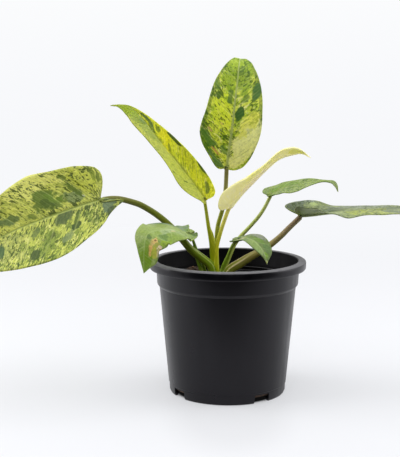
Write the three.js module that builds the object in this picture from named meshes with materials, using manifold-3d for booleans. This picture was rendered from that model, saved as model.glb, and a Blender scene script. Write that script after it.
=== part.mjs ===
// A potted Philodendron domesticum (spade-leaf philodendron) with mottled yellow-green leaves,
// standing in a round plastic nursery pot. Millimetres, +Z up, camera side of the plant is -Y.
// The origin is the centre of the pot's underside, on the plane that it stands on.
import * as THREE from "three";
import { mergeVertices } from "three/addons/utils/BufferGeometryUtils.js";
import Module from "manifold-3d";

const wasm = await Module();
wasm.setup();

// Pot
const POT_HEIGHT = 132;
const RIM_RADIUS = 77.5;
const RIM_DROP = 8; // height of the turned-over lip
const NECK_RADIUS = 71;
const STEP_HEIGHT = 107.5; // the ledge that the pots stack on
const WALL = 1.5;
const BASE_RADIUS = 56.8;
const FLOOR_UNDERSIDE = 3;
const FLOOR_TOP = 5;
const PAD_RADIUS = 12; // the flat pad under the middle of the floor
const NOTCH_WIDTH = 17;
const NOTCH_HEIGHT = 8;
const NOTCH_ANGLES = [-56, 34, 124, 214]; // degrees round from the front
const POT_SIDES = 48;

// Soil and stem
const SOIL_TOP = 105;
const STEM = new THREE.Vector3(-8.5, 0, SOIL_TOP); // where the stem leaves the soil
const GAP = 0.3; // between pieces that touch

// Leaves
const BLADE_THICKNESS = 0.7;
const LOBE_REACH = 0.15; // how far the basal lobes lie behind the junction, of the midrib's length
const COLUMNS = [0, 0.07, 0.3, 0.62, 1]; // places along each vein, from midrib to margin
const PETIOLE_SIDES = 8;

// Each leaf. Points are from the place where the stem leaves the soil. The spine is the midrib
// from the petiole to the tip, face points out of the upper surface, and each half has its
// outline as [part of the midrib's length, part of the half's width]. Angles are in degrees.
const FURLED_HALF = [[0, 0], [-0.04, 0.12], [-0.08, 0.3], [-0.09, 0.5], [-0.06, 0.7], [0, 0.84],
  [0.06, 0.86], [0.13, 0.77], [0.21, 0.64], [0.3, 0.47], [0.41, 0.36], [0.51, 0.28], [0.62, 0.3],
  [0.7, 0.4], [0.76, 0.45], [0.83, 0.41], [0.89, 0.24], [0.94, 0.08], [1, 0]];
const LEAVES = [
  {
    name: "new_furled", // the newest leaf, pale and still folded along its midrib
    color: 0xe4e39a, petioleColor: 0x9fb338, rows: 14,
    petiole: [[-1.6, -3.5, -2], [-2.4, -4.5, 11.5], [-3.2, -5, 29], [-2.2, -5, 42], [1.6, -5, 56],
      [5, -5, 66.5], [8, -5, 75], [10.2, -5, 79.6]],
    radius: [3.2, 2.4, 2, 1.9],
    spine: [[11, -5, 80.5], [17, -5, 88], [24, -5, 96], [31.5, -5, 103.5], [39.5, -5, 111.5],
      [48.5, -5, 120], [55, -5, 125.5], [62, -5, 129], [69.5, -5, 131], [77.5, -5, 132.5],
      [83, -5, 131.5], [89, -5, 128]],
    face: [[-0.6, 0.05, 0.7], [-0.6, 0, 0.8], [-0.2, 0, 1], [0.6, 0, 0.8]],
    left: { width: 18, fold: [45, 50, 52, 50], curl: [45, 55, 55, 30], outline: FURLED_HALF },
    right: { width: 18, fold: [45, 50, 52, 50], curl: [45, 55, 55, 30], outline: FURLED_HALF },
  },
  {
    name: "top", // the tall blade that faces the front, its tip rolled back
    color: 0xa9bf3a, petioleColor: 0x8a8f4a, rows: 15,
    petiole: [[-1.5, 4.5, -2], [-2, 4.5, 10], [-2.5, 5.5, 27], [-2.5, 7, 45], [-1, 8, 60],
      [3.6, 8, 77], [6.3, 8, 95], [7.4, 8.6, 117.3]],
    radius: [3, 2.2, 2.1, 2.1],
    spine: [[7, 8, 117], [9.5, 7, 134.5], [12.5, 7, 156], [15, 9, 178.5], [17.5, 14, 199],
      [19.5, 20.5, 216.5], [20.8, 32, 224], [20, 43, 219]],
    face: [[0.05, -1, 0.1], [0.05, -1, 0.15], [0.05, -1, 0.5]],
    left: { width: 33, fold: [8, 10, 9, 3], curl: [6, 6, 5, 0], wave: 1, waves: 2.5,
      outline: [[0, 0], [-0.014, 0.14], [-0.014, 0.23], [0.01, 0.37], [0.095, 0.63], [0.17, 0.85],
        [0.25, 0.97], [0.33, 0.95], [0.42, 0.86], [0.53, 0.78], [0.615, 0.71], [0.672, 0.64],
        [0.711, 0.57], [0.75, 0.49], [0.79, 0.4], [0.84, 0.28], [0.88, 0.19], [0.93, 0.11],
        [0.97, 0.04], [1, 0]] },
    right: { width: 29.5, fold: [8, 10, 9, 3], curl: [6, 6, 5, 0], wave: 1, waves: 2.5, phase: 0.3,
      outline: [[0, 0], [-0.01, 0.14], [-0.012, 0.25], [0.003, 0.42], [0.03, 0.57], [0.1, 0.75],
        [0.19, 0.88], [0.28, 0.96], [0.37, 0.97], [0.49, 0.93], [0.56, 0.89], [0.63, 0.82],
        [0.69, 0.73], [0.744, 0.62], [0.783, 0.52], [0.832, 0.41], [0.874, 0.27], [0.92, 0.14],
        [0.97, 0.04], [1, 0]] },
  },
  {
    name: "upper_left", // the long blade that leans to the upper left, with a drip tip
    color: 0xb3c63c, petioleColor: 0xa3b53a, rows: 15,
    petiole: [[-4, -1, -2], [-6, -2, 11.5], [-6.4, -3, 28.5], [-7.8, -3.5, 43.5], [-10.2, -4, 58],
      [-12.5, -4, 73.5], [-14.5, -4, 86.5]],
    radius: [3, 2.6, 1.9, 1.6],
    spine: [[-14.5, -4, 88], [-23, -5, 100], [-33.5, -7, 114], [-46, -10, 130], [-60.5, -14, 148.5],
      [-73.5, -18, 166], [-84.5, -22, 176.5], [-94.5, -25, 179.5], [-104, -27, 179]],
    face: [[0.35, -0.75, 0.55], [0.35, -0.75, 0.6], [0.1, -0.7, 0.8]],
    left: { width: 24, fold: [15, 18, 5, -15], curl: 10, wave: 1, waves: 2,
      outline: [[0, 0], [-0.03, 0.1], [-0.03, 0.2], [0.008, 0.3], [0.05, 0.48], [0.11, 0.7],
        [0.18, 0.88], [0.25, 0.9], [0.31, 0.78], [0.4, 0.62], [0.5, 0.53], [0.6, 0.54],
        [0.7, 0.6], [0.8, 0.56], [0.87, 0.42], [0.92, 0.2], [0.96, 0.05], [1, 0]] },
    right: { width: 20, fold: [12, 16, 18, 20], curl: 10, wave: 1, waves: 2, phase: 0.3,
      outline: [[0, 0], [-0.018, 0.12], [-0.026, 0.25], [-0.029, 0.5], [-0.005, 0.7],
        [0.056, 0.79], [0.13, 0.82], [0.25, 0.83], [0.4, 0.77], [0.56, 0.61], [0.68, 0.4],
        [0.75, 0.26], [0.83, 0.12], [0.91, 0.04], [1, 0]] },
  },
  {
    name: "right_small", // the narrow green blade held out to the right
    color: 0x7da04c, petioleColor: 0x7c9a3c, rows: 11,
    petiole: [[2.5, 4.5, -2], [4, 5.5, 7], [5.5, 6.5, 16], [8, 7, 23], [12, 8, 33], [16, 9, 41],
      [22.6, 10, 49.5], [30.8, 10, 58.3], [38.8, 10, 67.5], [44.6, 10, 76.2], [51.6, 10, 90]],
    radius: [3.2, 2.3, 2, 1.9, 1.8],
    spine: [[51.2, 10, 90.6], [57.5, 9, 93.4], [65, 8, 97.5], [76, 6, 100.5], [87.5, 4, 103.5],
      [99, 2, 105], [106.5, 1, 105], [112.5, 0, 102.5], [117, 0, 94]],
    face: [[0, -0.25, 1], [0, -0.22, 1], [0, -0.22, 1], [0, -0.25, 1], [0.3, -1, 0.5]],
    left: { width: 15, fold: [14, 8, 3, 2, 0], wave: 0.4, waves: 2, lobeBend: 40,
      outline: [[0, 0], [-0.05, 0.12], [-0.1, 0.3], [-0.115, 0.5], [-0.104, 0.7], [-0.071, 0.95],
        [0, 1.05], [0.08, 1.01], [0.152, 0.95], [0.236, 0.91], [0.383, 0.84], [0.48, 0.71],
        [0.612, 0.42], [0.69, 0.2], [0.765, 0.1], [0.832, 0.19], [0.877, 0.21], [0.93, 0.15],
        [0.97, 0.06], [1, 0]] },
    right: { width: 15, fold: [14, 4, -10, -8, 0], wave: 0.4, waves: 2, lobeBend: 100,
      outline: [[0, 0], [-0.025, 0.07], [-0.05, 0.16], [-0.055, 0.26], [-0.03, 0.34], [0.01, 0.38],
        [0.06, 0.48], [0.145, 0.86], [0.255, 1.2], [0.35, 1], [0.44, 0.78], [0.54, 0.6],
        [0.654, 0.28], [0.729, 0.18], [0.789, 0.18], [0.853, 0.13], [0.91, 0.08], [0.96, 0.03], [1, 0]] },
  },
  {
    name: "right_big", // the long dark blade that lies out flat to the right
    color: 0x6f8f52, petioleColor: 0x7d6a52, rows: 15,
    petiole: [[1.5, 0.5, -2], [4.5, 1.5, 6], [10.5, 3, 15], [20.5, 5, 21.5], [32, 7, 28.5],
      [43, 9, 34.5], [53, 11, 41], [62, 12, 48.5], [71.5, 13, 58], [82, 14, 68]],
    radius: [4.2, 4.4, 3.6, 2.9, 2.7],
    spine: [[82.5, 14, 69.4], [92.5, 12, 70.4], [104.5, 10, 72.1], [120, 7, 74], [139, 3, 75],
      [163, -2, 76.5], [186.5, -6, 76], [207.5, -10, 73.5], [226.5, -12, 67.5], [240.5, -13, 60]],
    face: [[0, -0.1, 1], [0, -0.08, 1], [0.3, -0.1, 0.9]],
    left: { width: 33, fold: [22, 9, 1, 2, 3, 3], wave: 1, waves: 3, lobeBend: 25,
      outline: [[0, 0], [-0.038, 0.18], [-0.074, 0.26], [-0.104, 0.33], [-0.118, 0.44], [-0.104, 0.61],
        [-0.068, 0.81], [-0.011, 1.02], [0.038, 1.09], [0.083, 1.02], [0.128, 0.87], [0.164, 0.76],
        [0.197, 0.71], [0.263, 0.73], [0.35, 0.74], [0.441, 0.61], [0.528, 0.56], [0.6, 0.54],
        [0.7, 0.41], [0.85, 0.19], [0.94, 0.06], [1, 0]] },
    right: { width: 33, fold: [38, 34, 25, 7, -5, 0, 0, 1, 1, 1, 1], wave: 1, waves: 3, lobeBend: 25,
      outline: [[0, 0], [-0.015, 0.1], [-0.03, 0.25], [-0.035, 0.45], [-0.025, 0.65], [0, 0.84],
        [0.04, 0.92], [0.1, 0.88], [0.16, 0.82], [0.22, 0.86], [0.27, 0.79], [0.32, 0.64], [0.37, 0.53],
        [0.41, 0.58], [0.45, 0.68], [0.5, 0.74], [0.55, 0.61], [0.6, 0.54], [0.7, 0.41], [0.85, 0.19],
        [0.94, 0.06], [1, 0]] },
  },
  {
    name: "left_big", // the largest blade, out to the left, its upper surface towards the front
    color: 0x9cb040, petioleColor: 0x6f7a3a, rows: 17,
    petiole: [[-4, -7, -2], [-6, -8, 11], [-8.5, -8, 21.5], [-17, -7, 29], [-27.6, -7, 37.6],
      [-36.4, -6, 47.8], [-46.8, -6, 59.8], [-60.5, -8, 72], [-75, -14, 82], [-84, -18, 86],
      [-91.5, -21.5, 88.5], [-97.5, -24.5, 90], [-103, -27.6, 90.5], [-107.5, -30, 90.3],
      [-112.5, -33, 89.8]],
    radius: [4.3, 4, 3.3, 3, 2.6],
    spine: [[-113.5, -36, 90.5], [-137, -42, 83.5], [-163.5, -49, 74.5], [-191.5, -57, 64],
      [-218.5, -63, 50], [-243.5, -66, 33.5], [-259, -66, 17.5]],
    face: [[-0.1, -0.9, 0.42], [-0.1, -0.9, 0.42], [-0.3, -0.8, 0.45]],
    left: { width: 47, fold: [4, 8, 10, 14], curl: [10, 20, 16, 10], wave: 1.5, waves: 2.5,
      outline: [[0, 0], [-0.01, 0.08], [-0.07, 0.12], [-0.12, 0.15], [-0.11, 0.2], [-0.07, 0.26],
        [-0.02, 0.38], [0.02, 0.52], [0.08, 0.68], [0.14, 0.8], [0.24, 0.98], [0.34, 1.06],
        [0.44, 1.04], [0.52, 0.97], [0.6, 0.88], [0.68, 0.75], [0.8, 0.48], [0.9, 0.22],
        [0.96, 0.07], [1, 0]] },
    right: { width: 46, fold: [6, 12, 12, 14], curl: [6, 12, 12, 10], wave: 1.5, waves: 2.5, phase: 0.3,
      outline: [[0, 0], [-0.005, 0.08], [-0.025, 0.18], [-0.045, 0.34], [-0.053, 0.51],
        [-0.038, 0.65], [-0.005, 0.73], [0.08, 0.82], [0.14, 0.85], [0.21, 0.88], [0.28, 0.93],
        [0.34, 0.95], [0.42, 0.88], [0.5, 0.77], [0.62, 0.58], [0.76, 0.36], [0.88, 0.15],
        [0.95, 0.05], [1, 0]] },
  },
  {
    name: "low_left", // an old small blade that droops over the rim at the front left
    color: 0x7fa046, petioleColor: 0x72863c, rows: 14, lead: 0.15,
    petiole: [[-11, -0.5, -9], [-12.5, -0.5, 1], [-14.5, -0.5, 9], [-17, -0.5, 17], [-21, -0.5, 28],
      [-23, -0.5, 36], [-24.5, -1, 42], [-26, -4, 47], [-27.5, -10, 51], [-30.2, -17.5, 55.3]],
    radius: [3.6, 3.6, 2.6, 1.4, 1.1],
    spine: [[-30.5, -18, 56], [-42.5, -28, 60.5], [-54, -40, 62.5], [-65, -49, 61.5],
      [-70, -54, 57], [-71.5, -56, 44], [-72, -54, 22.5]],
    face: [[-0.1, -0.45, 0.85], [-0.45, -0.5, 0.75], [-0.6, -0.7, 0.2], [-0.55, -0.8, 0]],
    left: { width: 25, fold: [0, -5, -14, -8, 0], lobeBend: 80,
      outline: [[0, 0], [-0.05, 0.02], [-0.097, 0.08], [-0.079, 0.27], [-0.02, 0.44], [0.09, 0.75],
        [0.205, 1.05], [0.307, 1.1], [0.372, 1], [0.432, 1], [0.53, 1.06], [0.62, 1.08], [0.685, 1.02],
        [0.72, 0.82], [0.74, 0.68], [0.77, 0.66], [0.82, 0.63], [0.87, 0.55], [0.92, 0.33],
        [0.96, 0.15], [1, 0]] },
    right: { width: 23, fold: 0, lobeBend: 80,
      outline: [[0, 0], [-0.05, 0.03], [-0.088, 0.04], [-0.086, 0.12], [-0.08, 0.25], [-0.068, 0.33],
        [-0.065, 0.4], [-0.083, 0.5], [-0.095, 0.59], [-0.086, 0.65], [-0.02, 0.65], [0.07, 0.56],
        [0.11, 0.46], [0.15, 0.76], [0.2, 1.16], [0.26, 1.36], [0.33, 1.34],
        [0.42, 1.08], [0.51, 0.8], [0.585, 0.64], [0.65, 0.55], [0.72, 0.42], [0.805, 0.29],
        [0.9, 0.14], [0.96, 0.05], [1, 0]] },
  },
  {
    name: "low_right", // an old small blade that droops inside the pot's front right
    color: 0x86a055, petioleColor: 0x72863c, rows: 11,
    petiole: [[2, -8, -2], [1.5, -8.5, 8], [2.5, -9, 16.5], [5, -10, 23.5], [8.5, -12.5, 32],
      [11.5, -16.5, 40.5], [14.5, -19.5, 46.5], [19, -22, 50]],
    radius: [2.8, 2.2, 1.8, 1.4],
    spine: [[19.5, -22, 51], [25.5, -27, 52.5], [32, -33, 51], [37.5, -38, 46.5], [42, -41, 40],
      [45, -42, 29.5]],
    face: [[0, -0.35, 1], [0.3, -0.6, 0.8], [0.7, -0.75, 0.3], [0.6, -0.9, 0]],
    left: { width: 12, fold: [5, 8, 5, 5], wave: 0.2, waves: 2,
      outline: [[0, 0], [-0.12, 0.08], [-0.23, 0.16], [-0.24, 0.3], [-0.15, 0.42], [-0.02, 0.44],
        [0.08, 0.42], [0.13, 0.48], [0.19, 0.62], [0.27, 0.79], [0.365, 0.98], [0.47, 1.05],
        [0.585, 1.05], [0.69, 0.96], [0.78, 0.8], [0.85, 0.57], [0.905, 0.33], [0.96, 0.11], [1, 0]] },
    right: { width: 12, fold: [5, 8, 5, 5], wave: 0.2, waves: 2,
      outline: [[0, 0], [-0.12, 0.08], [-0.23, 0.16], [-0.23, 0.3], [-0.13, 0.42], [0, 0.48],
        [0.12, 0.54], [0.24, 0.63], [0.34, 0.73], [0.44, 0.8], [0.55, 0.8], [0.64, 0.72],
        [0.735, 0.55], [0.8, 0.36], [0.88, 0.17], [0.95, 0.05], [1, 0]] },
  },
];

const radians = THREE.MathUtils.degToRad;

function curveThrough(points) {
  const vectors = points.map(([x, y, z = 0]) => new THREE.Vector3(x, y, z));
  const curve = new THREE.CatmullRomCurve3(vectors, false, "catmullrom", 0.5);
  curve.arcLengthDivisions = 240;
  return curve;
}

// A value between evenly spaced keys, eased from one key to the next.
function keyed(keys, at) {
  if (!Array.isArray(keys)) return keys;
  const place = THREE.MathUtils.clamp(at, 0, 1) * (keys.length - 1);
  const first = Math.min(Math.floor(place), keys.length - 2);
  const mix = THREE.MathUtils.smoothstep(place - first, 0, 1);
  const between = (a, b) => a * (1 - mix) + b * mix;
  if (!Array.isArray(keys[0])) return between(keys[first], keys[first + 1]);
  return keys[first].map((value, i) => between(value, keys[first + 1][i]));
}

function solidOf(geometry, tolerance = 1e-4) {
  const bare = new THREE.BufferGeometry();
  bare.setAttribute("position", geometry.getAttribute("position").clone());
  if (geometry.index) bare.setIndex(geometry.index.clone());
  const merged = mergeVertices(bare, tolerance);
  return new wasm.Manifold(new wasm.Mesh({
    numProp: 3,
    vertProperties: merged.attributes.position.array,
    triVerts: new Uint32Array(merged.index.array),
  }));
}

function geometryOf(solid) {
  const mesh = solid.getMesh();
  const geometry = new THREE.BufferGeometry();
  geometry.setAttribute("position", new THREE.BufferAttribute(mesh.vertProperties.slice(), 3));
  geometry.setIndex(new THREE.BufferAttribute(mesh.triVerts.slice(), 1));
  geometry.computeVertexNormals();
  return geometry;
}

// After a cut, slivers that came off a piece are dropped.
function largestBody(solid) {
  return solidOf(geometryOf(solid), 1e-3).decompose().reduce((a, b) => (b.volume() > a.volume() ? b : a));
}

function piece(name, geometry, color, roughness) {
  const mesh = new THREE.Mesh(
    geometry,
    new THREE.MeshStandardMaterial({ color, roughness, metalness: 0 }),
  );
  mesh.name = name;
  return mesh;
}

// The point on one half of a blade that is x mm along the midrib and s mm out from it.
function bladePoint(leaf, spine, half, side, x, s, wave) {
  const length = spine.getLength();
  const along = THREE.MathUtils.clamp(x / length, 0, 1);
  const folded = (x / length + LOBE_REACH) / (1 + LOBE_REACH);
  const fold = radians(keyed(half.fold, folded));
  const curl = radians(keyed(half.curl ?? 0, folded)) / half.width;
  const bend = Math.abs(curl) < 1e-6 ? 1e-6 : curl;
  const out = (Math.sin(fold + bend * s) - Math.sin(fold)) / bend;
  const up = (Math.cos(fold) - Math.cos(fold + bend * s)) / bend + wave;
  const tangent = spine.getPointAt(Math.min(along + 0.08, 1))
    .sub(spine.getPointAt(Math.max(along - 0.08, 0))).normalize();
  const face = new THREE.Vector3(...keyed(leaf.face, along));
  const normal = face.addScaledVector(tangent, -face.dot(tangent)).normalize();
  const across = new THREE.Vector3().crossVectors(normal, tangent).multiplyScalar(side);
  const point = spine.getPointAt(along);
  if (x < 0) { // the basal lobes, which may rise behind the junction
    const turn = (radians(half.lobeBend ?? 0) || 1e-6) / (LOBE_REACH * length);
    const angle = -x * turn;
    point.addScaledVector(tangent, -Math.sin(angle) / turn);
    point.addScaledVector(normal, (1 - Math.cos(angle)) / turn);
    normal.multiplyScalar(Math.cos(angle)).addScaledVector(tangent, Math.sin(angle)).normalize();
  }
  return point.addScaledVector(across, out).addScaledVector(normal, up);
}

// The veins of one half: a fan round the junction, then pairs all along the midrib.
function veinsOf(leaf, half, length) {
  const lead = leaf.lead ?? 0.2;
  const outline = curveThrough(half.outline).getPoints(600);
  const start = outline.map((p) => Math.max(0, p.x - lead * p.y));
  const fan = start.findLastIndex((value) => value <= 0);
  const fanVeins = 5;
  const at = [];
  for (let i = 0; i <= fanVeins; i++) at.push((fan * i) / fanVeins);
  for (let i = 1; i <= leaf.rows; i++) {
    let k = fan;
    while (k < 599 && start[k + 1] < i / leaf.rows) k++;
    at.push(Math.min(k + (i / leaf.rows - start[k]) / (start[k + 1] - start[k]), 600));
  }
  return at.map((place, i) => {
    const k = Math.min(Math.floor(place), 599);
    const end = outline[k].clone().lerp(outline[k + 1], place - k);
    return {
      from: Math.max(0, (i - fanVeins) / leaf.rows) * length,
      x: end.x * length,
      s: Math.max(0, end.y) * half.width,
      turn: place / 600,
    };
  });
}

// The blade's middle surface as triangles that share vertices, with the upper face outwards.
function bladeSheet(leaf) {
  const spine = curveThrough(leaf.spine);
  const length = spine.getLength();
  const corners = [];
  const ribs = [];
  for (const [half, side] of [[leaf.left, 1], [leaf.right, -1]]) {
    const grid = veinsOf(leaf, half, length).map((vein) => COLUMNS.map((v) => {
      const reach = Math.hypot(vein.x - vein.from, vein.s);
      const bow = vein.from > 0 ? 0.1 * reach * v * (1 - v) : 0;
      const x = vein.from + (vein.x - vein.from) * v - bow;
      const s = vein.s * v;
      const wave = (half.wave ?? 0) * (s / half.width) ** 1.5 *
        Math.sin(2 * Math.PI * ((half.waves ?? 0) * vein.turn + (half.phase ?? 0)));
      const point = bladePoint(leaf, spine, half, side, x, s, wave);
      return { point, rib: v === 0 ? 1.4 * (1 - vein.from / length) ** 0.7 : 0 };
    }));
    for (let i = 0; i + 1 < grid.length; i++) {
      for (let j = 0; j + 1 < COLUMNS.length; j++) {
        const [a, b, c, d] = [grid[i][j], grid[i + 1][j], grid[i + 1][j + 1], grid[i][j + 1]];
        for (const triangle of [[a, b, c], [a, c, d]]) {
          if (side < 0) triangle.reverse();
          for (const corner of triangle) {
            corners.push(...corner.point.toArray());
            ribs.push(corner.rib);
          }
        }
      }
    }
  }
  const sheet = new THREE.BufferGeometry();
  sheet.setAttribute("position", new THREE.Float32BufferAttribute(corners, 3));
  const merged = mergeVertices(sheet, 0.02);
  const index = [];
  for (let i = 0; i < merged.index.count; i += 3) {
    const [a, b, c] = merged.index.array.slice(i, i + 3);
    if (a !== b && b !== c && c !== a) index.push(a, b, c);
  }
  const rib = new Float32Array(merged.attributes.position.count);
  merged.index.array.forEach((vertex, i) => { rib[vertex] = Math.max(rib[vertex], ribs[i]); });
  merged.setIndex(index);
  merged.computeVertexNormals();
  return { sheet: merged, rib };
}

// The sheet given its thickness, with the midrib standing proud of the underside.
function bladeGeometry(leaf) {
  const { sheet, rib } = bladeSheet(leaf);
  const position = sheet.attributes.position;
  const normal = sheet.attributes.normal;
  const count = position.count;
  const points = [];
  for (const side of [1, -1]) {
    for (let i = 0; i < count; i++) {
      const lift = side * BLADE_THICKNESS / 2 - (side < 0 ? rib[i] : 0);
      const out = new THREE.Vector3().fromBufferAttribute(normal, i).multiplyScalar(lift);
      points.push(...new THREE.Vector3().fromBufferAttribute(position, i).add(out).toArray());
    }
  }
  const upper = [...sheet.index.array];
  const index = [...upper];
  const edges = new Set();
  for (let i = 0; i < upper.length; i += 3) {
    const [a, b, c] = upper.slice(i, i + 3);
    index.push(c + count, b + count, a + count);
    for (const [from, to] of [[a, b], [b, c], [c, a]]) {
      if (!edges.delete(to * count + from)) edges.add(from * count + to);
    }
  }
  for (const edge of edges) {
    const from = Math.floor(edge / count);
    const to = edge % count;
    index.push(to, from, from + count, to, from + count, to + count);
  }
  const geometry = new THREE.BufferGeometry();
  geometry.setAttribute("position", new THREE.Float32BufferAttribute(points, 3));
  geometry.setIndex(index);
  return geometry;
}

// A petiole: rings along its curve, closed at both ends. It can be grown, and end short of the curve.
function petioleGeometry(leaf, extra = 0, short = 0) {
  const curve = curveThrough(leaf.petiole);
  const steps = Math.round(curve.getLength() / 7);
  const frames = curve.computeFrenetFrames(steps, false);
  const used = 1 - short / curve.getLength();
  const points = [];
  for (let i = 0; i <= steps; i++) {
    const centre = curve.getPointAt((i / steps) * used);
    const radius = keyed(leaf.radius, i / steps) + extra;
    for (let k = 0; k < PETIOLE_SIDES; k++) {
      const angle = (2 * Math.PI * k) / PETIOLE_SIDES;
      points.push(...centre.clone()
        .addScaledVector(frames.normals[i], radius * Math.cos(angle))
        .addScaledVector(frames.binormals[i], radius * Math.sin(angle)).toArray());
    }
  }
  const last = steps * PETIOLE_SIDES;
  const index = [];
  for (let k = 0; k < PETIOLE_SIDES; k++) {
    const next = (k + 1) % PETIOLE_SIDES;
    for (let i = 0; i < steps; i++) {
      const [a, b] = [i * PETIOLE_SIDES + k, i * PETIOLE_SIDES + next];
      index.push(a, b, b + PETIOLE_SIDES, a, b + PETIOLE_SIDES, a + PETIOLE_SIDES);
    }
    if (k > 0 && next > 0) index.push(0, next, k, last, last + k, last + next);
  }
  const geometry = new THREE.BufferGeometry();
  geometry.setAttribute("position", new THREE.Float32BufferAttribute(points, 3));
  geometry.setIndex(index);
  return geometry;
}

// How far a petiole ends before its curve does, so that its end just misses the blade.
function shortfall(leaf, blade) {
  let short = 0;
  while (solidOf(petioleGeometry(leaf, 0, short)).intersect(blade).volume() > 1e-3) short += 0.2;
  return short + GAP;
}

// A round solid. Its profile runs from the bottom of the axis, up the outside and back to the axis.
function turned(profile, sides) {
  return new THREE.LatheGeometry(profile.map(([r, z]) => new THREE.Vector2(r, z)), sides)
    .rotateX(Math.PI / 2);
}

// The pot: a thin wall with a stacking step, a turned-over lip that is hollow underneath,
// a raised floor with a flat pad in the middle, and drain notches through the foot.
function potSolid() {
  const profile = [
    [0, 0], [PAD_RADIUS, 0], [PAD_RADIUS + 1, FLOOR_UNDERSIDE], [BASE_RADIUS - 4, FLOOR_UNDERSIDE],
    [BASE_RADIUS - 2.6, 0], [BASE_RADIUS, 0], [BASE_RADIUS + 1, 2], [BASE_RADIUS + 1.3, 9.5],
    [BASE_RADIUS + 1.8, 10], [67.4, STEP_HEIGHT - 3.5], [69.6, STEP_HEIGHT - 0.5],
    [70, STEP_HEIGHT + 0.5], [NECK_RADIUS, POT_HEIGHT - 2.5], [RIM_RADIUS - 2, POT_HEIGHT - 3],
    [RIM_RADIUS - 2, POT_HEIGHT - RIM_DROP], [RIM_RADIUS - 0.6, POT_HEIGHT - RIM_DROP],
    [RIM_RADIUS, POT_HEIGHT - 1.6], [RIM_RADIUS - 0.5, POT_HEIGHT - 0.5],
    [RIM_RADIUS - 1.6, POT_HEIGHT], [NECK_RADIUS - 0.9, POT_HEIGHT], [NECK_RADIUS - WALL, POT_HEIGHT - 0.7],
    [68.8, 117], [68.4, 116], [68.5, STEP_HEIGHT + 1], [66, STEP_HEIGHT - 3.5],
    [BASE_RADIUS + 1.8 - WALL, 11], [BASE_RADIUS - 1, FLOOR_TOP], [0, FLOOR_TOP],
  ];
  let pot = solidOf(turned(profile, POT_SIDES));
  for (const angle of NOTCH_ANGLES) {
    const notch = new THREE.BoxGeometry(NOTCH_WIDTH, 16, NOTCH_HEIGHT + 4);
    notch.translate(0, -BASE_RADIUS + 1, NOTCH_HEIGHT / 2 - 2).rotateZ(radians(angle));
    pot = pot.subtract(solidOf(notch));
  }
  return pot;
}

// The potting mix: it fills the pot to below the step, with an uneven top, heaped at the back left.
function soilSolid() {
  const inner = BASE_RADIUS + 1.8 - WALL - 0.8;
  const edge = 65.4;
  const rings = [61, 55, 46, 37, 28, 20, 13, 8, 4, 0];
  const geometry = turned([
    [0, FLOOR_TOP + GAP], [BASE_RADIUS - 1.5, FLOOR_TOP + GAP], [inner, 11.5], [edge, SOIL_TOP - 2.5],
    ...rings.map((r) => [r, SOIL_TOP]),
  ], 36);
  const position = geometry.attributes.position;
  for (let i = 0; i < position.count; i++) {
    const [x, y, z] = [position.getX(i), position.getY(i), position.getZ(i)];
    const r = Math.hypot(x, y);
    if (z < SOIL_TOP - 1 || r > 62) continue;
    const lumps = 1.1 * Math.sin(x * 0.21 + 1) * Math.cos(y * 0.17) +
      0.9 * Math.sin(x * 0.43 - y * 0.31) + 0.7 * Math.cos(x * 0.11 + y * 0.53);
    const heap = 13 * Math.exp(-((x + 34) ** 2 + (y - 42) ** 2) / 300);
    position.setZ(i, z + lumps * (1 - (r / 66) ** 4) + heap - 1.2);
  }
  return solidOf(geometry);
}

// The short stem that all the petioles leave.
function crownSolid() {
  const profile = [[0, -16], [6, -16], [8.5, -12], [9, -4], [9, 1], [8, 4], [5.5, 6], [0, 7]];
  return solidOf(turned(profile, 24));
}

const blades = LEAVES.map((leaf) => solidOf(bladeGeometry(leaf)));
const petioles = LEAVES.map((leaf, i) => {
  let petiole = solidOf(petioleGeometry(leaf, 0, shortfall(leaf, blades[i])));
  for (const inner of LEAVES.slice(0, i)) petiole = petiole.subtract(solidOf(petioleGeometry(inner, GAP)));
  return largestBody(petiole);
});

let crown = crownSolid();
let soil = soilSolid().translate(STEM.clone().negate().toArray());
const socket = solidOf(turned([[0, -16 - GAP], [9 + GAP, -16 - GAP], [9 + GAP, 12], [0, 12]], 24));
soil = soil.subtract(socket);
for (const leaf of LEAVES) {
  const grown = solidOf(petioleGeometry(leaf, GAP));
  crown = crown.subtract(grown);
  soil = soil.subtract(grown);
}

const plant = new THREE.Group();
plant.position.copy(STEM);
plant.add(piece("soil", geometryOf(largestBody(soil)), 0x3b2a20, 0.95));
plant.add(piece("crown", geometryOf(largestBody(crown)), 0x8a8f4a, 0.6));
LEAVES.forEach((leaf, i) => {
  plant.add(piece("petiole_" + leaf.name, geometryOf(petioles[i]), leaf.petioleColor, 0.45));
  plant.add(piece("blade_" + leaf.name, geometryOf(blades[i]), leaf.color, 0.4));
});

const philodendron = new THREE.Group();
philodendron.name = "potted_philodendron";
philodendron.add(piece("pot", geometryOf(potSolid()), 0x26262a, 0.5));
philodendron.add(plant);

export default philodendron;
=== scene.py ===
import math
import random
from bisect import bisect_right

import bmesh
import bpy
from mathutils import Matrix, Vector, noise


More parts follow.
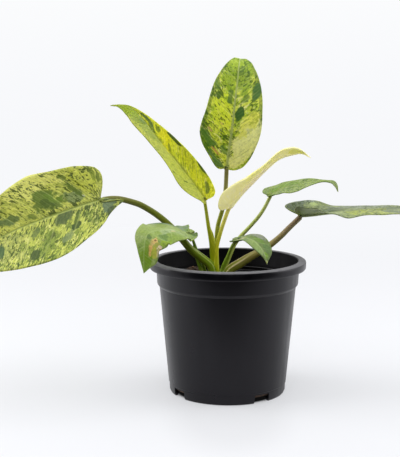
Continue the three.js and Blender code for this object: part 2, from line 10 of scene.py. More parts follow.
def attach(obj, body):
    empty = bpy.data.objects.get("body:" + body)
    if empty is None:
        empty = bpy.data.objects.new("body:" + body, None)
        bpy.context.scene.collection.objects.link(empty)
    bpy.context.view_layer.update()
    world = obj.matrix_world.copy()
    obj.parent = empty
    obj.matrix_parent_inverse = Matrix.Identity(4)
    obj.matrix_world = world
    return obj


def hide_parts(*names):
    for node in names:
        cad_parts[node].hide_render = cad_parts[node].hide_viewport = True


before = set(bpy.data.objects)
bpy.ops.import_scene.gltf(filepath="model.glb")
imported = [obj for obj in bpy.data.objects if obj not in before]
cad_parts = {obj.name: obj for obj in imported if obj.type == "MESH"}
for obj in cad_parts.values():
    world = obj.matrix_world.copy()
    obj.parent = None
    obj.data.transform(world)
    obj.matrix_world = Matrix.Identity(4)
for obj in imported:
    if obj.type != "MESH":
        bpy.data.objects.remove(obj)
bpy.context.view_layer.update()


# The pot: a thin-walled nursery pot, moulded in one piece from charcoal plastic. Its lip turns over
# and is hollow underneath, the pots stack on its ledge, and its floor is raised round a flat pad.
# Four drain notches are cut through the foot.
MM = 0.001
POT_STEPS = 144
FOOT_RADIUS = 56.8 * MM
NOTCH_SIZE = (17 * MM, 16 * MM, 12 * MM)
NOTCH_PLACE = (0, -FOOT_RADIUS + MM, 2 * MM)
NOTCH_ANGLES = (-56, 34, 124, 214)  # degrees round from the front
FLOOR_HEIGHT = 4.5 * MM
POT_PROFILE = [  # radius and height in millimetres, up the outside and down the inside
    (0, 0), (12, 0), (13, 3), (40, 3), (52.8, 3), (54.2, 0),  # the pad and the raised floor
    (56.8, 0), (57.8, 2), (58.1, 9.4), (58.7, 9.9), (67.6, 105.9), (68.2, 106.5),  # foot and wall
    (69.6, 108.4), (69.9, 109.2), (71, 129.5),  # ledge and neck
    (75.4, 129), (75.4, 124.2), (75.9, 123.7), (76.6, 123.8), (77.1, 124.5), (77.3, 125.6),  # under the lip
    (77.5, 130), (77.2, 131), (76.3, 131.6), (74, 131.9), (70.3, 132), (69.6, 131.3),  # over the lip
    (68.8, 117), (68.4, 116.4), (68.4, 113.4), (67.9, 113), (67.9, 112.2), (68.4, 111.8),  # neck, inside
    (68.2, 109.8), (67.6, 109.2), (67.8, 108), (66.4, 107), (66, 104),  # ledge, inside
    (57.1, 11), (55.8, 5), (0, 5)]  # wall and floor, inside


def linear(red, green, blue):
    """A colour as it looks on a screen, 0 to 255, made linear for a shader."""
    shares = [value / 255 for value in (red, green, blue)]
    return (*[s / 12.92 if s <= 0.04045 else ((s + 0.055) / 1.055) ** 2.4 for s in shares], 1)


def feed(tree, node, inputs):
    """Gives a node its inputs, each a value or a socket to wire in."""
    for name, value in inputs.items():
        if isinstance(value, bpy.types.NodeSocket):
            tree.links.new(value, node.inputs[name])
        else:
            node.inputs[name].default_value = value


def put(tree, kind, inputs=None, **settings):
    """Adds a shader node with its settings and its inputs."""
    made = tree.nodes.new(kind)
    for name, value in settings.items():
        setattr(made, name, value)
    feed(tree, made, inputs or {})
    return made


def maths(tree, operation, first, second=0.0, clamp=False):
    inputs = {0: first, 1: second}
    return put(tree, "ShaderNodeMath", inputs, operation=operation, use_clamp=clamp).outputs[0]


def times(tree, first, second):
    return maths(tree, "MULTIPLY", first, second)


def plus(tree, first, second):
    return maths(tree, "ADD", first, second)


def ramp(tree, value, start, end, low=0.0, high=1.0, smooth=True):
    """A value that eases from low to high while its source goes from start to end."""
    inputs = {"Value": value, "From Min": start, "From Max": end, "To Min": low, "To Max": high}
    kind = "SMOOTHSTEP" if smooth else "LINEAR"
    return put(tree, "ShaderNodeMapRange", inputs, interpolation_type=kind).outputs[0]


def tint(tree, share, first, second, blend="MIX"):
    inputs = {0: share, 6: first, 7: second}
    return put(tree, "ShaderNodeMix", inputs, data_type="RGBA", blend_type=blend).outputs[2]


def laid(tree, colour, mask, share, shade):
    """A colour with another laid over it where a mask allows."""
    return tint(tree, times(tree, mask, share), colour, linear(*shade))


def grain(tree, place, scale, detail=3.0, roughness=0.55, distortion=0.0):
    inputs = {"Vector": place, "Scale": scale, "Detail": detail, "Roughness": roughness,
              "Distortion": distortion}
    return put(tree, "ShaderNodeTexNoise", inputs).outputs[0]


def stretched(tree, place, scale, shift=(0, 0, 0)):
    inputs = {"Vector": place, "Scale": scale, "Location": shift}
    return put(tree, "ShaderNodeMapping", inputs).outputs[0]


def bump(tree, height, strength, distance):
    inputs = {"Height": height, "Strength": strength, "Distance": distance}
    return put(tree, "ShaderNodeBump", inputs).outputs[0]


def finish_named(name):
    """A new material, with its tree and its shader."""
    material = bpy.data.materials.new(name)
    material.use_nodes = True
    return material, material.node_tree, material.node_tree.nodes["Principled BSDF"]


def turned(profile, steps):
    """A round shape: its profile of radius and height, spun about the pot's axis."""
    bm = bmesh.new()
    points = [bm.verts.new((radius, 0, height)) for radius, height in profile]
    edges = [bm.edges.new(pair) for pair in zip(points, points[1:])]
    bmesh.ops.spin(bm, geom=points + edges, axis=(0, 0, 1), cent=(0, 0, 0),
                   angle=math.tau, steps=steps, use_merge=True)
    bmesh.ops.remove_doubles(bm, verts=bm.verts, dist=1e-6)
    bmesh.ops.recalc_face_normals(bm, faces=bm.faces)
    return bm


def made_piece(name, bm, materials):
    """Turns a finished bmesh into a smooth piece."""
    mesh = bpy.data.meshes.new(name)
    bm.to_mesh(mesh)
    bm.free()
    for material in materials:
        mesh.materials.append(material)
    mesh.shade_smooth()
    piece = bpy.data.objects.new(name, mesh)
    bpy.context.scene.collection.objects.link(piece)
    return piece


def charcoal_plastic(name, darkest, lightest, shine, smoothest, dullest):
    """Moulded plastic: faint flow marks down the wall, and a little dust where it faces up, which
    also serves as a painted highlight on top faces such as the lip.
    """
    material, tree, shader = finish_named(name)
    place = put(tree, "ShaderNodeTexCoord").outputs["Object"]
    facing = put(tree, "ShaderNodeSeparateXYZ", {0: put(tree, "ShaderNodeNewGeometry").outputs["Normal"]})
    clouds = grain(tree, place, 22, 5)
    flow = grain(tree, stretched(tree, place, (1, 1, 0.1)), 150, 4, 0.6)
    broad_flow = grain(tree, stretched(tree, place, (1, 1, 0.06)), 45, 3)
    # Faces that look up are lighter and rougher: partly dust, partly a painted highlight on top faces.
    dust_and_top_highlight = times(tree, ramp(tree, facing.outputs["Z"], 0.45, 0.95),
                 ramp(tree, grain(tree, place, 120, 3), 0.3, 0.7, 0.8, 1.0))
    colour = tint(tree, clouds, linear(*darkest), linear(*lightest))
    rough = plus(tree, times(tree, clouds, 0.5), times(tree, broad_flow, 0.5))
    rough = plus(tree, rough, times(tree, flow, 0.35))
    rough = ramp(tree, rough, 0.5, 0.85, smoothest, dullest)
    height = plus(tree, grain(tree, place, 1500, 2), times(tree, flow, 0.8))
    feed(tree, shader, {
        "Base Color": laid(tree, colour, dust_and_top_highlight, 0.42, (168, 167, 172)),
        "Roughness": maths(tree, "ADD", rough, times(tree, dust_and_top_highlight, 0.3), clamp=True),
        "Normal": bump(tree, height, 0.12, 0.2 * MM),
        "Specular IOR Level": shine, "Specular Tint": (0.94, 0.92, 1, 1)})
    return material


bm = turned([(radius * MM, height * MM) for radius, height in POT_PROFILE], POT_STEPS)
# Faces that look into the pot above its floor get the second material: the same plastic made darker and
# almost unreflecting, as painted shade inside the pot.
for face in bm.faces:
    middle, normal = face.calc_center_median(), face.normal
    if middle.z > FLOOR_HEIGHT and normal.xy.dot(middle.xy) < -0.2 * middle.xy.length:
        face.material_index = 1
outer_finish = charcoal_plastic("charcoal plastic", (6, 5, 8), (11, 10, 14), 0.32, 0.27, 0.42)
shaded_inner_finish = charcoal_plastic("charcoal plastic in painted shade", (5, 5, 6), (9, 9, 10), 0.07, 0.5, 0.65)
pot = made_piece("nursery_pot", bm, [outer_finish, shaded_inner_finish])
cutter_mesh = bmesh.new()
for angle in NOTCH_ANGLES:
    turn = Matrix.Rotation(math.radians(angle), 4, "Z")
    lie = turn @ Matrix.Translation(NOTCH_PLACE) @ Matrix.Diagonal((*NOTCH_SIZE, 1))
    bmesh.ops.create_cube(cutter_mesh, size=1, matrix=lie)
cutter = made_piece("notch_cutter", cutter_mesh, [])
notches = pot.modifiers.new("notches", "BOOLEAN")
notches.operation, notches.solver, notches.object = "DIFFERENCE", "EXACT", cutter
edges = pot.modifiers.new("soft edges", "BEVEL")
edges.limit_method, edges.angle_limit = "ANGLE", math.radians(38)
edges.width, edges.segments = 0.4 * MM, 3
pot.data = bpy.data.meshes.new_from_object(pot.evaluated_get(bpy.context.evaluated_depsgraph_get()))
pot.modifiers.clear()
bpy.data.objects.remove(cutter)
pot.data.shade_smooth()
pot.data.set_sharp_from_angle(angle=math.radians(50))
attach(pot, "root")
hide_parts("pot")


# The potting mix: damp peat and fine bark that fills the pot to below the ledge. Its top is uneven,
# heaped at the back left, with loose crumbs, bark chips and a few grains of perlite lying on it.
SOIL_TOP = 105 * MM
SOIL_EDGE = 65.4 * MM
SOIL_RINGS = 64
SOIL_STEPS = 120


def soil_height(x, y):
    """The soil's surface, with the heap at the left, at a place in metres."""
    a, b = x / MM, y / MM
    lumps = 1.1 * math.sin(a * 0.21 - 0.9) * math.cos(b * 0.17)
    lumps += 0.9 * math.sin(a * 0.43 - b * 0.31) + 0.7 * math.cos(a * 0.11 + b * 0.53)
    heap = 13 * math.exp(-((a + 34) ** 2 + (b - 42) ** 2) / 300)
    fine = 1.6 * noise.fractal(Vector((a, b, 0)) * 0.22, 0.7, 2.1, 5)
    return SOIL_TOP + ((lumps + fine) * (1 - (math.hypot(a, b) / 66) ** 4) + heap - 1.4) * MM


def damp_mix(name, dark, light, pale):
    material, tree, shader = finish_named(name)
    place = put(tree, "ShaderNodeTexCoord").outputs["Object"]
    lumps = ramp(tree, grain(tree, place, 260, 6, 0.7), 0.35, 0.65)
    flecks = ramp(tree, grain(tree, place, 900, 3), 0.62, 0.7)
    colour = laid(tree, tint(tree, lumps, linear(*dark), linear(*light)), flecks, 0.5, pale)
    feed(tree, shader, {"Base Color": colour, "Roughness": 0.92,
                        "Normal": bump(tree, grain(tree, place, 700, 5, 0.7), 0.7, 0.5 * MM)})
    return material


peat = damp_mix("damp peat", (38, 27, 20), (74, 54, 39), (120, 96, 72))
bark = damp_mix("bark chips", (84, 60, 42), (128, 96, 68), (160, 130, 98))
perlite = damp_mix("perlite", (186, 182, 172), (214, 210, 202), (232, 230, 224))
soil_rings = [(step / SOIL_RINGS) ** 0.9 * SOIL_EDGE for step in range(SOIL_RINGS - 1, 0, -1)]
bm = turned([(0, 5.3 * MM), (55.3 * MM, 5.3 * MM), (56 * MM, 11.5 * MM), (SOIL_EDGE, SOIL_TOP - 2.5 * MM),
             *[(radius, SOIL_TOP) for radius in soil_rings], (0, SOIL_TOP)], SOIL_STEPS)
for vert in bm.verts:
    if vert.co.z > SOIL_TOP - MM:
        vert.co.z = soil_height(vert.co.x, vert.co.y)
soil = made_piece("potting_mix", bm, [peat])
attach(soil, "root")
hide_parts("soil")

chance = random.Random(7)
for name, material, count, smallest, largest, flat in (
        ("soil_crumbs", peat, 620, 0.7, 2.0, 0.75), ("bark_chips", bark, 150, 1.2, 3.2, 0.35),
        ("perlite_grains", perlite, 34, 0.8, 1.7, 0.8)):
    bm = bmesh.new()
    for _ in range(count):
        radius, angle = SOIL_EDGE * 0.97 * math.sqrt(chance.random()), chance.uniform(0, math.tau)
        size = chance.uniform(smallest, largest) * MM
        x, y = radius * math.cos(angle), radius * math.sin(angle)
        lie = Matrix.Translation((x, y, soil_height(x, y) + size * flat * 0.35))
        lie = lie @ Matrix.Rotation(chance.uniform(0, math.tau), 4, "Z")
        lie = lie @ Matrix.Rotation(chance.uniform(-0.5, 0.5), 4, "X")
        lie = lie @ Matrix.Diagonal((1, chance.uniform(0.5, 0.9), flat, 1))
        crumb = bmesh.ops.create_icosphere(bm, subdivisions=1, radius=size, matrix=lie)["verts"]
        for vert in crumb:
            vert.co += noise.noise_vector(vert.co * 700) * size * 0.35
    crumbs = made_piece(name, bm, [material])
    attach(crumbs, "root")


# The stem: a short stump, ringed by the scars of old leaves, which all the leaf stalks leave.
# It is mostly hidden between the stalks.
STEM = Vector((-8.5, 0, 105)) * MM


def scarred_stem():
    material, tree, shader = finish_named("scarred stem")
    place = put(tree, "ShaderNodeTexCoord").outputs["Object"]
    rings = grain(tree, stretched(tree, place, (1, 1, 6)), 90, 4)
    colour = tint(tree, ramp(tree, rings, 0.4, 0.62), linear(96, 104, 44), linear(126, 100, 62))
    feed(tree, shader, {"Base Color": colour, "Roughness": 0.6, "Normal": bump(tree, rings, 0.5, 0.6 * MM)})
    return material


stem_profile = [(0, -16), (6, -16), (8.4, -12), (8.9, -8), (8.5, -7.4), (9, -6), (9, -2.5), (8.6, -1.9),
                (9, -0.8), (8.8, 2), (8.2, 2.6), (8.2, 3.6), (6.6, 5.4), (3.6, 6.6), (0, 7)]
bm = turned([(radius * MM, height * MM) for radius, height in stem_profile], 64)
for vert in bm.verts:
    vert.co += noise.noise_vector(vert.co * 120) * 0.5 * MM
bmesh.ops.translate(bm, verts=bm.verts, vec=STEM)
stem = made_piece("stem", bm, [scarred_stem()])
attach(stem, "root")
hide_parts("crown")


# The leaves: each is a long round stalk and a thin, waxy, spade-shaped blade, grown in one piece and
# joined at the blade's notch. All the stalks leave the stem, and the younger leaves stand above the
# older ones. First comes what all the leaves share, then each leaf with its own shape and colours.
LOBE_REACH = 0.15
BLADE_THICKNESS = 0.7
MIDRIB_WIDTH, MIDRIB_HEIGHT = 2.4, 1.4
GROOVE_WIDTH, GROOVE_DEPTH = 1.2, 0.5
QUILT_DEPTH = 0.35


def through(points, count):
    """Evenly shared places on a smooth curve through some points."""
    points = [Vector(point) for point in points]
    points = [points[0] * 2 - points[1], *points, points[-1] * 2 - points[-2]]
    places = []
    for step in range(count + 1):
        first = min(int(step / count * (len(points) - 3)), len(points) - 4)
        t = step / count * (len(points) - 3) - first
        a, b, c, d = points[first:first + 4]
        places.append((b * 2 + (c - a) * t + (a * 2 - b * 5 + c * 4 - d) * t ** 2
                       + (b * 3 - a - c * 3 + d) * t ** 3) / 2)
    return places


class Route:
    """A smooth curve that is walked by distance."""

    def __init__(self, points):
        self.places = through(points, 240)
        self.marks = [0]
        for first, second in zip(self.places, self.places[1:]):
            self.marks.append(self.marks[-1] + (second - first).length)
        self.length = self.marks[-1]

    def at(self, share):
        walked = min(max(share, 0), 1) * self.length
        i = min(bisect_right(self.marks, walked), len(self.marks) - 1) - 1
        part = (walked - self.marks[i]) / max(self.marks[i + 1] - self.marks[i], 1e-9)
        return self.places[i].lerp(self.places[i + 1], part)

    def heading(self, share, reach):
        return (self.at(share + reach) - self.at(share - reach)).normalized()


def keyed(keys, share):
    """A value between evenly spaced keys, eased from one key to the next."""
    if isinstance(keys, (int, float)):
        return keys
    place = min(max(share, 0), 1) * (len(keys) - 1)
    first = min(int(place), len(keys) - 2)
    mix = place - first
    mix = mix * mix * (3 - 2 * mix)
    if isinstance(keys[first], (int, float)):
        return keys[first] * (1 - mix) + keys[first + 1] * mix
    return Vector(keys[first]).lerp(Vector(keys[first + 1]), mix)


def blade_place(shape, spine, half, side, x, s, lift):
    """The point on one half of a blade that is x mm along the midrib and s mm out from it."""
    along = min(max(x / spine.length, 0), 1)
    folded = (x / spine.length + LOBE_REACH) / (1 + LOBE_REACH)
    fold = math.radians(keyed(half["fold"], folded))
    curl = math.radians(keyed(half.get("curl", 0), folded)) / half["width"]
    curl = curl if abs(curl) > 1e-6 else 1e-6
    out = (math.sin(fold + curl * s) - math.sin(fold)) / curl
    up = (math.cos(fold) - math.cos(fold + curl * s)) / curl + lift
    heading = spine.heading(along, 0.08)
    normal = keyed(shape["face"], along)
    normal = (normal - heading * normal.dot(heading)).normalized()
    across = normal.cross(heading) * side
    point = spine.at(along)
    if x < 0:
        turn = (math.radians(half.get("lobe_bend", 0)) or 1e-6) / (LOBE_REACH * spine.length)
        angle = -x * turn
        point = point - heading * math.sin(angle) / turn + normal * (1 - math.cos(angle)) / turn
        normal = (normal * math.cos(angle) + heading * math.sin(angle)).normalized()
    return point + across * out + normal * up


def veins_of(half, lead, length, fan_rows, rows):
    """Where the veins of one half start on the midrib and end on the margin, from notch to tip."""
    outline = through(half["outline"], 600)
    start = [point.x - lead * point.y for point in outline]
    fan = max(i for i, value in enumerate(start) if value <= 0)
    places = [fan * i / fan_rows for i in range(fan_rows + 1)]
    k = fan
    for i in range(1, rows + 1):
        while k < 599 and max(start[k + 1], 0) < i / rows:
            k += 1
        low, high = max(start[k], 0), max(start[k + 1], 0)
        places.append(min(k + (i / rows - low) / max(high - low, 1e-9), 600))
    veins = []
    for i, place in enumerate(places):
        k = min(int(place), 599)
        end = outline[k].lerp(outline[k + 1], place - k)
        reach = max(0, end.y) * half["width"]
        mark = (i - fan_rows) / rows if i > fan_rows else 0.3 * (i / fan_rows - 1)
        veins.append((max(0, mark) * length, end.x * length, reach, place / 600, mark))
    return veins


def blade(name, shape, pairs, materials):
    """A blade: two grids of veins joined at the midrib, shaped, then given their thickness."""
    spine = Route(shape["spine"])
    length = spine.length
    fan_rows, rows, columns = (34, 150, 28) if length > 100 else (26, 100, 20)
    bm = bmesh.new()
    flat = bm.loops.layers.uv.new("leaf")
    veined = bm.loops.layers.uv.new("veins")
    height = bm.verts.layers.float.new("midrib height")
    for side, half in ((1, shape["left"]), (-1, shape["right"])):
        veins = veins_of(half, shape.get("lead", 0.2), length, fan_rows, rows)
        made = bmesh.ops.create_grid(bm, x_segments=fan_rows + rows, y_segments=columns, size=1)["verts"]
        marks = {}
        for vert in made:
            i = round((vert.co.x + 1) / 2 * (fan_rows + rows))
            v = ((vert.co.y + 1) / 2) ** 1.5
            start, end, reach, turn, mark = veins[i]
            bow = 0.1 * math.hypot(end - start, reach) * v * (1 - v) if start > 0 else 0
            x, s = start + (end - start) * v - bow, reach * v
            thinning = 1 - max(x, 0) / length
            wave = half.get("wave", 0) * (s / half["width"]) ** 1.5
            wave *= math.sin(math.tau * (half.get("waves", 0) * turn + half.get("phase", 0)))
            beside = abs((mark * pairs + 0.25 * side) % 1 - 0.5) / 0.5  # 1 on a side vein
            quilt = QUILT_DEPTH * (0.35 - beside ** 3) * min(v * 5, 1) * (1 - v) ** 0.6
            groove = -GROOVE_DEPTH * math.exp(-(s / GROOVE_WIDTH) ** 2) * thinning
            crease = 0.5 * noise.noise(Vector((x * 0.05, s * 0.07 * side, 3))) * min(s / 8, 1)
            place = blade_place(shape, spine, half, side, x, s, wave + quilt + groove + crease)
            marks[vert] = ((x / 100, side * s / 100), (mark, side * v))
            rib = max(0, 1 - (s / (MIDRIB_WIDTH * thinning ** 0.5 + 0.3)) ** 2) ** 0.5
            vert[height] = rib * MIDRIB_HEIGHT * thinning ** 0.7
            vert.co = place
        faces = {face for vert in made for face in vert.link_faces}
        for face in faces:
            for loop in face.loops:
                loop[flat].uv, loop[veined].uv = marks[loop.vert]
        if side < 0:
            bmesh.ops.reverse_faces(bm, faces=list(faces))
    bmesh.ops.remove_doubles(bm, verts=bm.verts, dist=0.02)
    bmesh.ops.dissolve_degenerate(bm, edges=bm.edges, dist=0.004)
    bm.normal_update()
    under = bmesh.ops.extrude_face_region(bm, geom=bm.faces[:], use_keep_orig=True)["geom"]
    for item in under:
        if isinstance(item, bmesh.types.BMVert):
            item.co -= item.normal * (BLADE_THICKNESS + item[height])
        elif isinstance(item, bmesh.types.BMFace):
            item.material_index = 1
    return grown_piece("blade_of_" + name, bm, materials)


def stalk(name, shape, material):
    """A stalk: a grid rolled into a tube, grooved along its upper side, with two thin sheath edges
    beside the groove near its foot."""
    route = Route(shape["stalk"])
    steps, sides = max(24, round(route.length / 1.6)), 36
    bm = bmesh.new()
    coat = bm.loops.layers.uv.new("stalk")
    made = bmesh.ops.create_grid(bm, x_segments=steps, y_segments=sides, size=1)["verts"]
    frames = []
    across = Vector(shape.get("open", (0, -1, 0.4)))
    edge_heights = shape.get("sheath", [1.1, 0.9, 0.6, 0, 0, 0, 0])
    for i in range(steps + 1):
        heading = route.heading(i / steps, 0.02)
        across = (across - heading * across.dot(heading)).normalized()
        frames.append((route.at(i / steps), across, heading.cross(across)))
    marks = {}
    for vert in made:
        i, k = round((vert.co.x + 1) / 2 * steps), round((vert.co.y + 1) / 2 * sides)
        share, angle = i / steps, math.tau * k / sides
        centre, open_side, beside = frames[i]
        from_groove = abs((angle + math.pi) % math.tau - math.pi)
        edge_height = keyed(edge_heights, share)
        radius = keyed(shape["radius"], share)
        radius *= 1 - (0.1 + 0.3 * min(edge_height, 1)) * math.exp(-(from_groove / 0.45) ** 2)
        radius += edge_height * math.exp(-((from_groove - 0.75) / 0.22) ** 2)
        radius += 0.12 * noise.noise(Vector((share * 9, math.cos(angle), math.sin(angle))))
        if i == steps:
            radius *= 0.55
        marks[vert] = (share, k / sides)
        vert.co = centre + (open_side * math.cos(angle) + beside * math.sin(angle)) * radius
    for face in bm.faces:
        for loop in face.loops:
            loop[coat].uv = marks[loop.vert]
    bmesh.ops.remove_doubles(bm, verts=bm.verts, dist=0.01)
    bmesh.ops.holes_fill(bm, edges=[edge for edge in bm.edges if edge.is_boundary], sides=0)
    return grown_piece("stalk_of_" + name, bm, [material])


def grown_piece(name, bm, materials):
    """A piece made in millimetres from the stem's foot, with its faces turned outward."""
    bmesh.ops.recalc_face_normals(bm, faces=bm.faces)
    bmesh.ops.transform(bm, verts=bm.verts, matrix=Matrix.Translation(STEM) @ Matrix.Scale(MM, 4))
    return made_piece(name, bm, materials)


def vector_maths(tree, operation, *inputs, result="Vector"):
    return put(tree, "ShaderNodeVectorMath", dict(enumerate(inputs)), operation=operation).outputs[result]


def effect(name, inputs, outputs):
    """A node group with its named sockets. Returns its tree and the sockets of its inputs."""
    group = bpy.data.node_groups.new(name, "ShaderNodeTree")
    for label, kind in inputs.items():
        group.interface.new_socket(name=label, in_out="INPUT", socket_type="NodeSocket" + kind)
    for label in outputs:
        group.interface.new_socket(name=label, in_out="OUTPUT", socket_type="NodeSocketFloat")
    return group, group.nodes.new("NodeGroupInput").outputs


def placed(tree, group, inputs):
    """A node group in a material, with its own values."""
    return put(tree, "ShaderNodeGroup", inputs, node_tree=group).outputs


def leaf_veins_effect():
    """The pale midrib, the pairs of side veins and the fine veins between them, as masks."""
    tree, given = effect("Leaf veins", {"Vein place": "Vector", "Leaf place": "Vector", "Pairs": "Float"},
                         ("Midrib", "Side veins", "Fine veins"))
    mark = put(tree, "ShaderNodeSeparateXYZ", {0: given["Vein place"]})
    lies = put(tree, "ShaderNodeSeparateXYZ", {0: given["Leaf place"]})
    out = maths(tree, "ABSOLUTE", mark.outputs["Y"])
    side = times(tree, maths(tree, "SIGN", mark.outputs["Y"]), 0.25)
    widest = ramp(tree, mark.outputs["X"], 0, 1, 0.021, 0.006, smooth=False)
    midrib = maths(tree, "DIVIDE", maths(tree, "ABSOLUTE", lies.outputs["Y"]), widest)
    wobble = times(tree, maths(tree, "SUBTRACT", grain(tree, given["Leaf place"], 9, 2), 0.5), 0.12)

    def lines(often, start, end):
        along = times(tree, mark.outputs["X"], times(tree, given["Pairs"], often))
        along = plus(tree, plus(tree, along, side), wobble)
        beside = maths(tree, "ABSOLUTE", maths(tree, "SUBTRACT", maths(tree, "FRACT", along), 0.5))
        return ramp(tree, beside, start, end)

    feed(tree, tree.nodes.new("NodeGroupOutput"), {
        "Midrib": ramp(tree, midrib, 1.0, 0.45),
        "Side veins": times(tree, lines(1, 0.44, 0.49), ramp(tree, out, 1.0, 0.55)),
        "Fine veins": times(tree, lines(5, 0.3, 0.48), ramp(tree, out, 0.02, 0.2))})
    return tree


def marbling_effect():
    """Clouds, cream streaks and dark dashes that run along the side veins, as masks. Stretch is the
    leaf's length and half width in decimetres, so that the marks have the same size on every leaf."""
    tree, given = effect("Leaf marbling", {
        "Vein place": "Vector", "Leaf place": "Vector", "Stretch": "Vector", "Seed": "Float",
        "Crowding": "Float"}, ("Clouds", "Cream", "Dashes", "Shade"))
    shift = put(tree, "ShaderNodeCombineXYZ", {"Z": given["Seed"]}).outputs[0]
    vein = vector_maths(tree, "MULTIPLY_ADD", given["Vein place"], given["Stretch"], shift)
    leaf = vector_maths(tree, "ADD", given["Leaf place"], shift)
    streaks = grain(tree, stretched(tree, vein, (26, 13, 1)), 1, 4, 0.6, 0.8)
    clouds = grain(tree, leaf, 9, 4, 0.62, 0.5)
    mixed = plus(tree, times(tree, streaks, 0.6), times(tree, clouds, 0.4))
    crowd = ramp(tree, grain(tree, leaf, 6, 2), 0.35, 0.65, -0.045, 0.045)
    crowd = plus(tree, crowd, given["Crowding"])
    long_dashes = grain(tree, stretched(tree, vein, (42, 17, 1), (3, 8, 2)), 1, 2, 0.5, 0.6)
    short_dashes = grain(tree, stretched(tree, vein, (70, 40, 1), (9, 1, 4)), 1, 2, 0.5, 0.3)
    dashes = maths(tree, "MAXIMUM", ramp(tree, plus(tree, long_dashes, crowd), 0.585, 0.635),
                   ramp(tree, plus(tree, short_dashes, crowd), 0.61, 0.66))
    cream = grain(tree, stretched(tree, vein, (30, 11, 1), (7, 3, 5)), 1, 4, 0.65, 0.8)
    feed(tree, tree.nodes.new("NodeGroupOutput"), {
        "Clouds": ramp(tree, mixed, 0.475, 0.54), "Cream": ramp(tree, cream, 0.54, 0.63),
        "Dashes": dashes, "Shade": grain(tree, leaf, 40, 3)})
    return tree


def patch_effect():
    """One blotch, squared off along the veins and with a ragged edge, as a mask."""
    tree, given = effect("Leaf patch", {
        "Vein place": "Vector", "Leaf place": "Vector", "Centre": "Vector", "Size": "Vector",
        "Ragged": "Float"}, ("Mask",))
    away = vector_maths(tree, "SUBTRACT", given["Vein place"], given["Centre"])
    scaled = vector_maths(tree, "DIVIDE", away, given["Size"])
    for scale, share in ((8, 2.2), (26, 1.3)):
        inputs = {"Vector": given["Leaf place"], "Scale": scale, "Detail": 3.0}
        swirl = put(tree, "ShaderNodeTexNoise", inputs).outputs["Color"]
        swirl = vector_maths(tree, "SUBTRACT", swirl, (0.5, 0.5, 0.5))
        swirl = vector_maths(tree, "MULTIPLY", swirl, times(tree, given["Ragged"], share))
        scaled = vector_maths(tree, "ADD", scaled, swirl)
    parts = put(tree, "ShaderNodeSeparateXYZ", {0: scaled}).outputs
    long_part, wide_part = [maths(tree, "POWER", maths(tree, "ABSOLUTE", parts[axis]), 2.3) for axis in "XY"]
    far = maths(tree, "POWER", plus(tree, long_part, wide_part), 1 / 2.3)
    feed(tree, tree.nodes.new("NodeGroupOutput"), {"Mask": ramp(tree, far, 1.14, 0.84)})
    return tree


leaf_veins = leaf_veins_effect()
marbling = marbling_effect()
patch = patch_effect()


def leaf_skin(name, shape, look, under=False):
    """The waxy skin of a blade: ground colour, marbling, blotches, veins and margin."""
    material, tree, shader = finish_named(name)
    lies = put(tree, "ShaderNodeUVMap", uv_map="leaf").outputs[0]
    places = {"Vein place": put(tree, "ShaderNodeUVMap", uv_map="veins").outputs[0], "Leaf place": lies}
    stretch = (Route(shape["spine"]).length / 100, shape["left"]["width"] / 100, 1)
    lines = placed(tree, leaf_veins, {**places, "Pairs": look["pairs"]})
    marks = placed(tree, marbling, {**places, "Stretch": stretch, "Seed": look.get("seed", 0),
                                    "Crowding": look.get("crowding", 0)})

    def blotched(colour, blotches):
        for mark, out, long, wide, ragged, share, shade in blotches:
            mask = placed(tree, patch, {**places, "Centre": (mark, out, 0), "Size": (long, wide, 1),
                                        "Ragged": ragged})["Mask"]
            colour = laid(tree, colour, mask, share, shade)
        return colour

    colour = linear(*look["ground"])
    for mask, share, shade in (("Clouds", "clouds", "cloud"), ("Cream", "cream", "pale")):
        if share in look:
            colour = laid(tree, colour, marks[mask], look[share], look[shade])
    colour = blotched(colour, look["washes"])
    if "dashes" in look:
        colour = laid(tree, colour, marks["Dashes"], look["dashes"], look["dark"])
    colour = blotched(colour, look.get("patches", ()))
    colour = tint(tree, 1.0, colour, ramp(tree, marks["Shade"], 0.3, 0.7, 0.88, 1.1), blend="MULTIPLY")
    colour = laid(tree, colour, lines["Fine veins"], look["fine"], look["vein"])
    colour = laid(tree, colour, lines["Side veins"], look["side"], look["vein"])
    colour = laid(tree, colour, lines["Midrib"], look["rib"], look.get("midrib", look["vein"]))
    if under:
        colour = tint(tree, look.get("veiled", 0.35), colour, linear(*look["under"]))
    texture = plus(tree, marks["Shade"], times(tree, lines["Fine veins"], -0.6))
    texture = plus(tree, texture, times(tree, lines["Side veins"], 0.5 if under else -0.8))
    gloss = look.get("rough", 0.42) + (0.12 if under else 0)
    feed(tree, shader, {
        "Base Color": colour,
        "Roughness": ramp(tree, grain(tree, lies, 30, 4), 0.3, 0.7, gloss - 0.06, gloss + 0.08),
        "Normal": bump(tree, texture, look.get("relief", 0.35), 0.3 * MM),
        "Specular IOR Level": 0.3,
        "Subsurface Weight": look.get("translucent", 0.35),
        "Subsurface Radius": (1, 1, look.get("blue_depth", 0.35)),
        "Subsurface Scale": look.get("glow_depth", 1.5) * MM})
    # Painted glow: the skin gives off light in its own colour, standing in for light shining through the
    # thin blade.
    if "painted_glow" in look:
        feed(tree, shader, {"Emission Color": colour, "Emission Strength": look["painted_glow"]})
    return material


